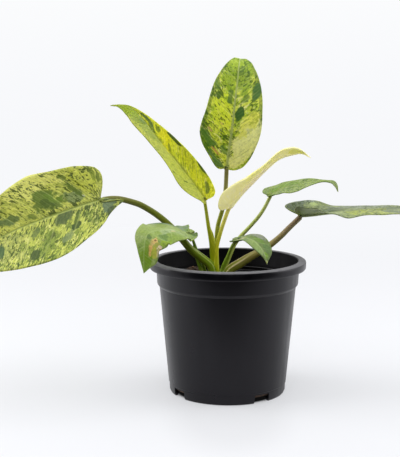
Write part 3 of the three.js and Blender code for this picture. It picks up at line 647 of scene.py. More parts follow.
def stalk_skin(name, foot, middle, top, fleck, sheath_edge, underside_shade):
    """The smooth skin of a stalk: its colour changes from foot to top, with fine long streaks, and
    its underside is painted darker as painted shade.
    """
    material, tree, shader = finish_named(name)
    place = put(tree, "ShaderNodeUVMap", uv_map="stalk").outputs[0]
    axes = put(tree, "ShaderNodeSeparateXYZ", {0: place}).outputs
    colour = tint(tree, ramp(tree, axes["X"], 0.1, 0.45), linear(*foot), linear(*middle))
    colour = tint(tree, ramp(tree, axes["X"], 0.5, 0.95), colour, linear(*top))
    # The side away from the groove, which faces down, is painted darker: painted shade.
    from_back = maths(tree, "ABSOLUTE", maths(tree, "SUBTRACT", axes["Y"], 0.5))
    colour = laid(tree, colour, ramp(tree, from_back, 0.32, 0.14), 0.8, underside_shade)
    streaks = grain(tree, stretched(tree, place, (5, 22, 1)), 1, 4, 0.6)
    colour = laid(tree, colour, ramp(tree, streaks, 0.5, 0.68), 0.6, fleck)
    flecks = grain(tree, stretched(tree, place, (80, 50, 1)), 1, 3)
    colour = laid(tree, colour, ramp(tree, flecks, 0.6, 0.7), 0.4, fleck)
    beside_groove = maths(tree, "ABSOLUTE", maths(tree, "SUBTRACT", from_back, 0.385))
    edge = times(tree, ramp(tree, beside_groove, 0.045, 0.015), ramp(tree, axes["X"], 0.42, 0.3))
    feed(tree, shader, {
        "Base Color": laid(tree, colour, edge, 0.8, sheath_edge), "Roughness": 0.46,
        "Normal": bump(tree, streaks, 0.25, 0.3 * MM), "Specular IOR Level": 0.25,
        "Subsurface Weight": 0.25, "Subsurface Radius": (1, 1, 0.35), "Subsurface Scale": 1.5 * MM})
    return material


def grow_leaf(name, shape, look):
    """Makes the two pieces of a leaf. Its shape is in millimetres from the stem's foot, with angles in
    degrees and outlines as (share of the midrib, share of the half's width). In its look, washes lie
    under the dark dashes and patches over them. Each is (place along, place across, half length, half
    width, raggedness, strength, colour), and the blade's left half counts as positive."""
    skins = [leaf_skin(name + " upper side", shape, look),
             leaf_skin(name + " underside", shape, look, under=True)]
    leaf_blade = blade(name, shape, look["pairs"], skins)
    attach(leaf_blade, "root")
    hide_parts("blade_" + name)
    leaf_stalk = stalk(name, shape, stalk_skin(name + " stalk", **look["stalk"]))
    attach(leaf_stalk, "root")
    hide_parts("petiole_" + name)


# The newest leaf: pale, soft and still rolled round its midrib, with a greener tip. Its young
# stalk stands in the middle of the plant.
FURLED_HALF = [(0, 0), (-0.04, 0.12), (-0.08, 0.3), (-0.09, 0.5), (-0.06, 0.7), (0, 0.84), (0.06, 0.86),
               (0.13, 0.77), (0.21, 0.64), (0.3, 0.47), (0.41, 0.36), (0.51, 0.28), (0.62, 0.3),
               (0.7, 0.4), (0.76, 0.45), (0.83, 0.41), (0.89, 0.24), (0.94, 0.08), (1, 0)]
shape = dict(
    stalk=[(-1.6, -3.5, -2), (-2.4, -4.5, 11.5), (-3.2, -5, 29), (-2.2, -5, 42), (1.6, -5, 56),
           (5, -5, 66.5), (8, -5, 75), (10.2, -5, 79.6)],
    radius=[3.2, 2.4, 2, 1.9],
    spine=[(11, -5, 80.5), (17, -5, 88), (24, -5, 96), (31.5, -5, 103.5), (39.5, -5, 111.5),
           (48.5, -5, 120), (55, -5, 125.5), (62, -5, 129), (69.5, -5, 131), (77.5, -5, 132.5),
           (83, -5, 131.5), (89, -5, 128)],
    face=[(-0.6, 0.05, 0.7), (-0.6, 0, 0.8), (-0.2, 0, 1), (0.6, 0, 0.8)],
    left=dict(width=18, fold=[45, 50, 52, 50], curl=[45, 55, 55, 30], outline=FURLED_HALF),
    right=dict(width=18, fold=[45, 50, 52, 50], curl=[45, 55, 55, 30], outline=FURLED_HALF))
look = dict(
    ground=(255, 246, 182), cloud=(255, 240, 146), clouds=0.4, pale=(255, 252, 216), cream=0.5,
    vein=(246, 238, 160), fine=0.1, side=0.15, rib=0.2, pairs=8, rough=0.4, relief=0.15,
    # The last value gives the skin a faint painted glow in place of light through the blade.
    under=(255, 246, 188), veiled=0.3, translucent=0.5, glow_depth=2, blue_depth=0.6, painted_glow=0.16,
    washes=[
        (-0.1, 0.3, 0.2, 0.3, 0.6, 0.4, (255, 246, 176)),
        (-0.1, -0.3, 0.2, 0.3, 0.6, 0.4, (255, 246, 176)),
        (0.36, 0.15, 0.2, 0.22, 0.6, 0.7, (255, 234, 204)),
        (0.36, -0.15, 0.2, 0.22, 0.6, 0.7, (255, 234, 204)),
        (0.4, 0.78, 0.25, 0.22, 0.6, 0.7, (244, 240, 140)),
        (0.4, -0.78, 0.25, 0.22, 0.6, 0.7, (244, 240, 140)),
        (0.82, 0.6, 0.1, 0.36, 0.8, 0.75, (214, 222, 60)),
        (0.82, -0.6, 0.1, 0.36, 0.8, 0.75, (214, 222, 60))],
    stalk=dict(foot=(170, 184, 0), middle=(212, 212, 44), top=(240, 230, 120), fleck=(152, 162, 8),
               sheath_edge=(226, 228, 70), underside_shade=(180, 186, 20)))
grow_leaf("new_furled", shape, look)


# The tall leaf, which faces the front: lime with dark green dashes and blotches, and cream beside
# the notch. Its stalk stands upright behind the newest one, and its tip bends back.
shape = dict(
    stalk=[(-1.5, 4.5, -2), (-2, 4.5, 10), (-2.5, 5.5, 27), (-2.5, 7, 45), (-1, 8, 60), (3.6, 8, 77),
           (6.3, 8, 95), (7.4, 8.6, 117.3)],
    radius=[3, 2.2, 2.1, 2.1],
    spine=[(7, 8, 117), (9.5, 7, 134.5), (12.5, 7, 156), (15, 9, 178.5), (17.5, 14, 199),
           (19.5, 20.5, 216.5), (20.8, 32, 224), (20, 43, 219)],
    face=[(0.05, -1, 0.1), (0.05, -1, 0.15), (0.05, -1, 0.5)],
    left=dict(width=33, fold=[8, 10, 9, 3], curl=[6, 6, 5, 0], wave=1, waves=2.5, outline=[
        (0, 0), (-0.014, 0.14), (-0.014, 0.23), (0.01, 0.37), (0.095, 0.63), (0.17, 0.85), (0.25, 0.97),
        (0.33, 0.95), (0.42, 0.86), (0.53, 0.78), (0.615, 0.71), (0.672, 0.64), (0.711, 0.57),
        (0.75, 0.49), (0.79, 0.4), (0.84, 0.28), (0.88, 0.19), (0.93, 0.11), (0.97, 0.04), (1, 0)]),
    right=dict(width=29.5, fold=[8, 10, 9, 3], curl=[6, 6, 5, 0], wave=1, waves=2.5, phase=0.3, outline=[
        (0, 0), (-0.01, 0.14), (-0.012, 0.25), (0.003, 0.42), (0.03, 0.57), (0.1, 0.75), (0.19, 0.88),
        (0.28, 0.96), (0.37, 0.97), (0.49, 0.93), (0.56, 0.89), (0.63, 0.82), (0.69, 0.73), (0.744, 0.62),
        (0.783, 0.52), (0.832, 0.41), (0.874, 0.27), (0.92, 0.14), (0.97, 0.04), (1, 0)]))
look = dict(
    ground=(230, 240, 84), cloud=(162, 192, 44), clouds=0.85, pale=(252, 252, 166), cream=0.9,
    dark=(68, 108, 20), dashes=0.9, crowding=0.026, seed=1.3, vein=(204, 214, 116), midrib=(190, 204, 124),
    fine=0.1, side=0.3, rib=0.8, pairs=7, under=(160, 176, 100),
    washes=[
        (0.12, -0.51, 0.2, 0.45, 0.8, 0.85, (252, 252, 150)),
        (0.37, 0.46, 0.15, 0.41, 0.9, 0.75, (238, 252, 60)),
        (0.8, 0.5, 0.28, 0.6, 0.7, 0.72, (150, 182, 30)),
        (0.8, -0.5, 0.28, 0.6, 0.7, 0.72, (144, 178, 30)),
        (0.0, 0.85, 0.04, 0.16, 0.6, 0.9, (112, 158, 24)),
        (0.42, -0.95, 0.6, 0.06, 0.3, 0.5, (120, 140, 60)),
        (0.4, 0.95, 0.6, 0.06, 0.3, 0.5, (120, 140, 60))],
    patches=[
        (0.07, -0.54, 0.17, 0.45, 0.8, 0.75, (255, 255, 176)),
        (0.26, -0.58, 0.08, 0.32, 0.9, 0.55, (255, 255, 96)),
        (0.476, -0.85, 0.066, 0.17, 0.6, 1, (84, 128, 50)),
        (0.383, -0.24, 0.044, 0.18, 0.9, 1, (74, 120, 42)),
        (0.072, 0.68, 0.042, 0.3, 0.9, 0.9, (88, 138, 46)),
        (-0.07, 0.5, 0.075, 0.36, 0.9, 0.9, (98, 140, 68)),
        (0.107, 0.17, 0.026, 0.12, 0.8, 0.8, (112, 152, 66)),
        (0.438, 0.72, 0.026, 0.1, 0.8, 0.9, (76, 116, 36)),
        (0.5, 0.87, 0.04, 0.12, 0.9, 0.7, (108, 148, 60)),
        (0.52, 0.24, 0.05, 0.12, 1.3, 0.75, (92, 132, 56)),
        (0.48, -0.44, 0.03, 0.18, 1.2, 0.7, (104, 142, 44)),
        (0.74, -0.35, 0.04, 0.2, 1.3, 0.75, (92, 132, 40)),
        (0.047, 0.42, 0.01, 0.16, 0.7, 0.9, (216, 170, 92)),
        (0.15, 0.7, 0.008, 0.07, 0.9, 0.7, (224, 176, 122)),
        (0.27, 0.4, 0.006, 0.05, 0.9, 0.6, (220, 172, 110))],
    stalk=dict(foot=(152, 164, 10), middle=(150, 158, 50), top=(126, 122, 72), fleck=(120, 118, 46),
               sheath_edge=(208, 214, 90), underside_shade=(130, 134, 52)))
grow_leaf("top", shape, look)


# The leaf that leans to the upper left: long, narrow and yellow-green, with darker blotches towards
# its tip. Its stalk keeps a broad sheath over most of its length.
shape = dict(
    stalk=[(-4, -1, -2), (-6, -2, 11.5), (-6.4, -3, 28.5), (-7.8, -3.5, 43.5), (-10.2, -4, 58),
           (-12.5, -4, 73.5), (-14.5, -4, 86.5)],
    open=(1, -0.3, 0.3), sheath=[1.5, 1.8, 2.2, 2.6, 2.8, 2.6, 2.1, 0, 0, 0, 0], radius=[3, 2.6, 1.9, 1.6],
    spine=[(-14.5, -4, 88), (-23, -5, 100), (-33.5, -7, 114), (-46, -10, 130), (-60.5, -14, 148.5),
           (-73.5, -18, 166), (-84.5, -22, 176.5), (-94.5, -25, 179.5), (-104, -27, 179)],
    face=[(0.35, -0.75, 0.55), (0.35, -0.75, 0.6), (0.1, -0.7, 0.8)],
    left=dict(width=24, fold=[15, 18, 5, -15], curl=10, wave=1, waves=2, outline=[
        (0, 0), (-0.03, 0.1), (-0.03, 0.2), (0.008, 0.3), (0.05, 0.48), (0.11, 0.7), (0.18, 0.88),
        (0.25, 0.9), (0.31, 0.78), (0.4, 0.62), (0.5, 0.53), (0.6, 0.54), (0.7, 0.6), (0.8, 0.56),
        (0.87, 0.42), (0.92, 0.2), (0.96, 0.05), (1, 0)]),
    right=dict(width=20, fold=[12, 16, 18, 20], curl=10, wave=1, waves=2, phase=0.3, outline=[
        (0, 0), (-0.018, 0.12), (-0.026, 0.25), (-0.029, 0.5), (-0.005, 0.7), (0.056, 0.79), (0.13, 0.82),
        (0.25, 0.83), (0.4, 0.77), (0.56, 0.61), (0.68, 0.4), (0.75, 0.26), (0.83, 0.12), (0.91, 0.04),
        (1, 0)]))
look = dict(
    ground=(236, 240, 54), cloud=(198, 208, 34), clouds=0.7, pale=(246, 246, 116), cream=0.7,
    dark=(120, 144, 26), dashes=0.55, crowding=-0.01, seed=4.1, vein=(224, 230, 96), midrib=(196, 206, 96),
    fine=0.06, side=0.08, rib=0.3, pairs=7, under=(176, 186, 100),
    washes=[
        # The first wash here is painted shade over the whole left half, which faces away from the light.
        (0.4, 0.5, 0.9, 0.6, 0.2, 0.65, (160, 170, 80)), (0.9, -0.5, 0.14, 0.6, 0.6, 0.6, (148, 172, 10)),
        (0.84, 0.5, 0.16, 0.6, 0.6, 0.75, (142, 166, 10)),
        (0.46, -0.5, 0.08, 0.5, 0.9, 0.8, (248, 240, 30)),
        (0.62, 0.3, 0.1, 0.36, 0.9, 0.6, (136, 160, 40)),
        (0.2, -0.6, 0.12, 0.34, 0.8, 0.4, (206, 206, 30))],
    patches=[
        (0.68, -0.62, 0.08, 0.26, 1.1, 0.92, (88, 120, 44)),
        (0.62, -0.25, 0.045, 0.2, 1.2, 0.85, (100, 132, 46)),
        (0.71, 0.12, 0.04, 0.2, 1.3, 0.7, (110, 142, 48)),
        (0.9, 0.5, 0.14, 0.6, 0.5, 0.85, (148, 172, 14)), (0.94, -0.5, 0.1, 0.6, 0.5, 0.7, (148, 172, 14)),
        (0.55, -0.7, 0.03, 0.2, 1.2, 0.75, (108, 136, 30)),
        (0.35, -0.92, 0.09, 0.1, 0.5, 0.95, (74, 100, 30)),
        (0.034, -0.95, 0.05, 0.08, 0.5, 0.9, (80, 108, 30)),
        (-0.04, -0.5, 0.035, 0.24, 0.8, 0.8, (104, 128, 50)),
        (0.122, 0.45, 0.008, 0.12, 0.4, 0.9, (90, 112, 26)),
        (0.185, 0.86, 0.017, 0.06, 0.5, 0.8, (104, 124, 36)),
        (0.415, -0.3, 0.02, 0.2, 0.9, 0.7, (120, 140, 34))],
    stalk=dict(foot=(160, 176, 0), middle=(176, 182, 24), top=(178, 182, 60), fleck=(128, 140, 10),
               sheath_edge=(216, 224, 50), underside_shade=(150, 164, 10)))
grow_leaf("upper_left", shape, look)


# The small leaf held out to the right: narrow and plain green, with its tip turned down. Its pale
# stalk rises at a slant from behind the newest one.
shape = dict(
    stalk=[(2.5, 4.5, -2), (4, 5.5, 7), (5.5, 6.5, 16), (8, 7, 23), (12, 8, 33), (16, 9, 41),
           (22.6, 10, 49.5), (30.8, 10, 58.3), (38.8, 10, 67.5), (44.6, 10, 76.2), (51.6, 10, 90)],
    radius=[3.2, 2.3, 2, 1.9, 1.8], open=(-1, -0.3, 0.5), sheath=[1.1, 1, 0.6, 0.2, 0, 0, 0],
    spine=[(51.2, 10, 90.6), (57.5, 9, 93.4), (65, 8, 97.5), (76, 6, 100.5), (87.5, 4, 103.5),
           (99, 2, 105), (106.5, 1, 105), (112.5, 0, 102.5), (117, 0, 94)],
    face=[(0, -0.25, 1), (0, -0.22, 1), (0, -0.22, 1), (0, -0.25, 1), (0.3, -1, 0.5)],
    left=dict(width=15, fold=[14, 8, 3, 2, 0], wave=0.4, waves=2, lobe_bend=40, outline=[
        (0, 0), (-0.05, 0.12), (-0.1, 0.3), (-0.115, 0.5), (-0.104, 0.7), (-0.071, 0.95), (0, 1.05),
        (0.08, 1.01), (0.152, 0.95), (0.236, 0.91), (0.383, 0.84), (0.48, 0.71), (0.612, 0.42),
        (0.69, 0.2), (0.765, 0.1), (0.832, 0.19), (0.877, 0.21), (0.93, 0.15), (0.97, 0.06), (1, 0)]),
    right=dict(width=15, fold=[14, 4, -10, -8, 0], wave=0.4, waves=2, lobe_bend=100, outline=[
        (0, 0), (-0.025, 0.07), (-0.05, 0.16), (-0.055, 0.26), (-0.03, 0.34), (0.01, 0.38), (0.06, 0.48),
        (0.145, 0.86), (0.255, 1.2), (0.35, 1), (0.44, 0.78), (0.54, 0.6), (0.654, 0.28), (0.729, 0.18),
        (0.789, 0.18), (0.853, 0.13), (0.91, 0.08), (0.96, 0.03), (1, 0)]))
look = dict(
    ground=(132, 154, 74), cloud=(150, 168, 96), clouds=0.65, dark=(94, 124, 46), dashes=0.85,
    crowding=0.01, seed=2.7, vein=(162, 178, 112), fine=0.1, side=0.2, rib=0.5, pairs=6,
    under=(188, 204, 118), veiled=0.7,
    washes=[
        (0.28, -0.75, 0.3, 0.27, 0.4, 0.7, (162, 178, 114)),
        (-0.01, 0.41, 0.055, 0.3, 0.9, 0.8, (112, 148, 44)),
        (0.2, 0.4, 0.13, 0.25, 1.0, 0.7, (122, 156, 54)),
        (-0.16, 0.66, 0.085, 0.3, 0.4, 0.7, (138, 156, 104)),
        (0.88, 0.5, 0.12, 0.5, 0.4, 0.5, (142, 158, 106)),
        (0.88, -0.5, 0.12, 0.5, 0.4, 0.5, (142, 158, 106))],
    patches=[
        (0.41, 0.68, 0.035, 0.14, 0.7, 0.9, (88, 112, 58)),
        (0.12, 0.55, 0.012, 0.1, 0.7, 0.8, (110, 146, 46)),
        (0.03, 0.66, 0.014, 0.09, 0.7, 0.8, (108, 142, 46)),
        (0.6, 0.5, 0.03, 0.14, 0.8, 0.7, (112, 134, 70)),
        (0.55, -0.4, 0.03, 0.2, 0.9, 0.6, (124, 150, 66))],
    stalk=dict(foot=(150, 176, 44), middle=(186, 200, 108), top=(190, 200, 118), fleck=(156, 170, 78),
               sheath_edge=(226, 226, 130), underside_shade=(168, 182, 92)))
grow_leaf("right_small", shape, look)


# The big leaf that lies out flat to the right: dark, with paler marbling, and seen nearly edge on.
# Its stalk is thick, flushed brown towards the blade, and passes low over the lip.
shape = dict(
    stalk=[(1.5, 0.5, -2), (4.5, 1.5, 6), (10.5, 3, 15), (20.5, 5, 21.5), (32, 7, 28.5), (43, 9, 34.5),
           (53, 11, 41), (62, 12, 48.5), (71.5, 13, 58), (82, 14, 68)],
    radius=[4.2, 4.4, 3.6, 2.9, 2.7], open=(-0.5, -0.3, 1), sheath=[1.1, 1, 0.7, 0.2, 0, 0, 0],
    spine=[(82.5, 14, 69.4), (92.5, 12, 70.4), (104.5, 10, 72.1), (120, 7, 74), (139, 3, 75),
           (163, -2, 76.5), (186.5, -6, 76), (207.5, -10, 73.5), (226.5, -12, 67.5), (240.5, -13, 60)],
    face=[(0, -0.1, 1), (0, -0.08, 1), (0.3, -0.1, 0.9)],
    left=dict(width=33, fold=[22, 9, 1, 2, 3, 3], wave=1, waves=3, lobe_bend=25, outline=[
        (0, 0), (-0.038, 0.18), (-0.074, 0.26), (-0.104, 0.33), (-0.118, 0.44), (-0.104, 0.61),
        (-0.068, 0.81), (-0.011, 1.02), (0.038, 1.09), (0.083, 1.02), (0.128, 0.87), (0.164, 0.76),
        (0.197, 0.71), (0.263, 0.73), (0.35, 0.74), (0.441, 0.61), (0.528, 0.56), (0.6, 0.54), (0.7, 0.41),
        (0.85, 0.19), (0.94, 0.06), (1, 0)]),
    right=dict(width=33, fold=[38, 34, 25, 7, -5, 0, 0, 1, 1, 1, 1], wave=1, waves=3, lobe_bend=25,
        outline=[(0, 0), (-0.015, 0.1), (-0.03, 0.25), (-0.035, 0.45), (-0.025, 0.65), (0, 0.84),
                 (0.04, 0.92), (0.1, 0.88), (0.16, 0.82), (0.22, 0.86), (0.27, 0.79), (0.32, 0.64),
                 (0.37, 0.53), (0.41, 0.58), (0.45, 0.68), (0.5, 0.74), (0.55, 0.61), (0.6, 0.54),
                 (0.7, 0.41), (0.85, 0.19), (0.94, 0.06), (1, 0)]))
look = dict(
    ground=(116, 128, 80), cloud=(146, 158, 106), clouds=0.8, pale=(178, 190, 118), cream=0.6,
    dark=(70, 86, 44), dashes=0.9, crowding=0.02, seed=6.2, vein=(158, 168, 118), fine=0.1, side=0.2,
    rib=0.5, pairs=7, under=(148, 164, 96), veiled=0.35,
    washes=[
        (0.7, 0.5, 0.36, 0.6, 0.5, 0.6, (152, 162, 104)),
        (0.7, -0.5, 0.36, 0.6, 0.5, 0.6, (152, 162, 104)),
        (0.164, -0.49, 0.12, 0.5, 0.5, 0.8, (150, 164, 100)),
        (0.357, -0.49, 0.12, 0.5, 0.7, 0.85, (172, 184, 70)),
        (0.41, 0.12, 0.09, 0.15, 0.6, 0.75, (166, 178, 72)),
        # This grey wash is a painted sheen on the left half.
        (0.27, 0.73, 0.2, 0.26, 0.4, 0.75, (132, 142, 118)),
        (0.15, 0.3, 0.08, 0.3, 0.7, 0.7, (100, 112, 76)),
        (-0.02, 0.72, 0.07, 0.2, 0.5, 0.5, (136, 150, 100)),
        (-0.09, 0.92, 0.04, 0.1, 0.3, 0.8, (134, 144, 128)),
        (-0.15, 0.7, 0.06, 0.3, 0.5, 0.85, (96, 108, 88)),
        (-0.1, -0.7, 0.03, 0.4, 0.5, 0.8, (104, 116, 96))],
    patches=[
        (-0.16, 0.2, 0.14, 0.2, 0.8, 0.8, (96, 122, 40)),
        (-0.14, -0.25, 0.12, 0.25, 0.8, 0.8, (100, 126, 40)),
        (-0.04, -0.55, 0.06, 0.3, 0.9, 0.6, (124, 140, 82)),
        (0.114, 0.3, 0.06, 0.18, 0.9, 0.85, (92, 108, 72)),
        (0.039, -0.68, 0.045, 0.28, 0.9, 0.8, (92, 110, 70)),
        (-0.05, 0.79, 0.02, 0.1, 0.8, 0.8, (172, 188, 122)),
        (0.12, -0.87, 0.02, 0.08, 0.6, 0.9, (78, 98, 38)),
        (0.316, -0.66, 0.02, 0.12, 0.6, 0.9, (88, 110, 28)),
        (0.337, -0.88, 0.014, 0.08, 0.6, 0.9, (80, 100, 30)),
        (0.52, 0.4, 0.05, 0.4, 0.7, 0.8, (100, 114, 84)),
        (0.52, -0.44, 0.055, 0.45, 0.7, 0.8, (100, 114, 84)),
        (0.72, 0.3, 0.04, 0.2, 0.9, 0.85, (92, 110, 62)),
        (0.78, -0.5, 0.05, 0.24, 0.9, 0.8, (96, 112, 66))],
    stalk=dict(foot=(126, 138, 18), middle=(160, 150, 80), top=(160, 138, 108), fleck=(120, 106, 56),
               sheath_edge=(218, 200, 150), underside_shade=(112, 120, 22)))
grow_leaf("right_big", shape, look)


# The largest leaf, which hangs out to the left: marbled in cream, lime and dark green. Its long
# stalk arches over the lip and carries it from the notch.
shape = dict(
    stalk=[(-4, -7, -2), (-6, -8, 11), (-8.5, -8, 21.5), (-17, -7, 29), (-27.6, -7, 37.6),
           (-36.4, -6, 47.8), (-46.8, -6, 59.8), (-60.5, -8, 72), (-75, -14, 82), (-84, -18, 86),
           (-91.5, -21.5, 88.5), (-97.5, -24.5, 90), (-103, -27.6, 90.5), (-107.5, -30, 90.3),
           (-112.5, -33, 89.8)],
    radius=[4.3, 4, 3.3, 3, 2.6], open=(0.5, -0.2, 1), sheath=[1.1, 0.8, 0.2, 0, 0, 0, 0],
    spine=[(-113.5, -36, 90.5), (-137, -42, 83.5), (-163.5, -49, 74.5), (-191.5, -57, 64),
           (-218.5, -63, 50), (-243.5, -66, 33.5), (-259, -66, 17.5)],
    face=[(-0.1, -0.9, 0.42), (-0.1, -0.9, 0.42), (-0.3, -0.8, 0.45)],
    left=dict(width=47, fold=[4, 8, 10, 14], curl=[10, 20, 16, 10], wave=1.5, waves=2.5, outline=[
        (0, 0), (-0.01, 0.08), (-0.07, 0.12), (-0.12, 0.15), (-0.11, 0.2), (-0.07, 0.26), (-0.02, 0.38),
        (0.02, 0.52), (0.08, 0.68), (0.14, 0.8), (0.24, 0.98), (0.34, 1.06), (0.44, 1.04), (0.52, 0.97),
        (0.6, 0.88), (0.68, 0.75), (0.8, 0.48), (0.9, 0.22), (0.96, 0.07), (1, 0)]),
    right=dict(width=46, fold=[6, 12, 12, 14], curl=[6, 12, 12, 10], wave=1.5, waves=2.5, phase=0.3,
        outline=[(0, 0), (-0.005, 0.08), (-0.025, 0.18), (-0.045, 0.34), (-0.053, 0.51), (-0.038, 0.65),
                 (-0.005, 0.73), (0.08, 0.82), (0.14, 0.85), (0.21, 0.88), (0.28, 0.93), (0.34, 0.95),
                 (0.42, 0.88), (0.5, 0.77), (0.62, 0.58), (0.76, 0.36), (0.88, 0.15), (0.95, 0.05),
                 (1, 0)]))
look = dict(
    ground=(198, 206, 92), cloud=(122, 144, 52), clouds=0.85, pale=(234, 236, 138), cream=0.9,
    dark=(68, 92, 26), dashes=0.9, crowding=0.018, seed=8.4, vein=(190, 200, 112), midrib=(176, 190, 98),
    fine=0.07, side=0.3, rib=0.8, pairs=7, under=(150, 162, 100),
    washes=[
        (0.254, 0.56, 0.05, 0.3, 0.9, 0.7, (118, 142, 48)),
        # This broad pale wash is painted light, lifting the right half that the lamps leave darker.
        (0.3, -0.5, 0.75, 0.6, 0.2, 0.5, (236, 238, 116)),
        (0.2, -0.82, 0.17, 0.22, 0.9, 0.8, (246, 246, 140)),
        (-0.04, -0.53, 0.08, 0.36, 0.9, 0.5, (206, 212, 76)),
        (0.6, 0.5, 0.2, 0.5, 0.9, 0.4, (206, 206, 120)),
        (0.1, -0.25, 0.05, 0.12, 0.7, 0.8, (128, 150, 96))],
    patches=[
        (0.227, -0.39, 0.08, 0.26, 0.8, 0.9, (112, 138, 52)),
        (0.193, -0.36, 0.04, 0.13, 1.0, 0.6, (124, 156, 44)),
        (0.24, -0.3, 0.035, 0.12, 1.2, 0.8, (90, 114, 42)),
        (0.47, -0.4, 0.042, 0.17, 1.0, 0.9, (112, 136, 74)),
        (0.575, 0.5, 0.028, 0.24, 0.6, 0.95, (74, 106, 62)),
        (0.32, 0.76, 0.036, 0.1, 0.8, 0.95, (70, 92, 38)),
        (0.2, 0.13, 0.06, 0.12, 0.7, 0.9, (84, 104, 54)),
        (0.107, 0.39, 0.024, 0.09, 0.7, 0.95, (60, 86, 30)),
        (0.12, 0.2, 0.012, 0.16, 0.7, 0.9, (88, 112, 34)),
        (0.136, 0.56, 0.03, 0.12, 0.8, 0.8, (126, 144, 92)),
        (0.364, 0.27, 0.022, 0.12, 0.8, 0.85, (112, 132, 66)),
        (-0.16, 0.5, 0.08, 0.3, 0.6, 0.9, (108, 130, 96)),
        (-0.12, 0.85, 0.018, 0.14, 0.7, 0.95, (82, 100, 60)),
        (0.036, -0.77, 0.02, 0.09, 1.0, 0.85, (104, 128, 40)),
        (-0.13, -0.7, 0.02, 0.18, 1.0, 0.8, (106, 128, 38)),
        (-0.09, -0.72, 0.012, 0.2, 1.0, 0.7, (118, 140, 44)),
        (0.056, -0.34, 0.02, 0.2, 1.1, 0.85, (94, 122, 34)),
        (0.364, -0.16, 0.026, 0.1, 1.0, 0.8, (112, 134, 44)),
        (0.246, 0.45, 0.012, 0.09, 0.8, 0.9, (84, 100, 36)),
        (0.05, -0.2, 0.006, 0.03, 0.8, 0.6, (222, 224, 186))],
    stalk=dict(foot=(122, 154, 8), middle=(120, 130, 26), top=(122, 122, 58), fleck=(80, 90, 14),
               sheath_edge=(166, 178, 86), underside_shade=(84, 88, 20)))
grow_leaf("left_big", shape, look)


# An old small leaf that droops over the lip at the front left: green, with dry brown spots where it
# has begun to die back. Its thin stalk bends over under it.
shape = dict(
    stalk=[(-11, -0.5, -9), (-12.5, -0.5, 1), (-14.5, -0.5, 9), (-17, -0.5, 17), (-21, -0.5, 28),
           (-23, -0.5, 36), (-24.5, -1, 42), (-26, -4, 47), (-27.5, -10, 51), (-30.2, -17.5, 55.3)],
    lead=0.15, radius=[3.6, 3.6, 2.6, 1.4, 1.1], open=(0.8, -0.7, 0.3),
    sheath=[1.2, 1.2, 0.9, 0.3, 0, 0, 0],
    spine=[(-30.5, -18, 56), (-42.5, -28, 60.5), (-54, -40, 62.5), (-65, -49, 61.5), (-70, -54, 57),
           (-71.5, -56, 44), (-72, -54, 22.5)],
    face=[(-0.1, -0.45, 0.85), (-0.45, -0.5, 0.75), (-0.6, -0.7, 0.2), (-0.55, -0.8, 0)],
    left=dict(width=25, fold=[0, -5, -14, -8, 0], lobe_bend=80, outline=[
        (0, 0), (-0.05, 0.02), (-0.097, 0.08), (-0.079, 0.27), (-0.02, 0.44), (0.09, 0.75), (0.205, 1.05),
        (0.307, 1.1), (0.372, 1), (0.432, 1), (0.53, 1.06), (0.62, 1.08), (0.685, 1.02), (0.72, 0.82),
        (0.74, 0.68), (0.77, 0.66), (0.82, 0.63), (0.87, 0.55), (0.92, 0.33), (0.96, 0.15), (1, 0)]),
    right=dict(width=23, fold=0, lobe_bend=80, outline=[
        (0, 0), (-0.05, 0.03), (-0.088, 0.04), (-0.086, 0.12), (-0.08, 0.25), (-0.068, 0.33),
        (-0.065, 0.4), (-0.083, 0.5), (-0.095, 0.59), (-0.086, 0.65), (-0.02, 0.65), (0.07, 0.56),
        (0.11, 0.46), (0.15, 0.76), (0.2, 1.16), (0.26, 1.36), (0.33, 1.34), (0.42, 1.08), (0.51, 0.8),
        (0.585, 0.64), (0.65, 0.55), (0.72, 0.42), (0.805, 0.29), (0.9, 0.14), (0.96, 0.05), (1, 0)]))
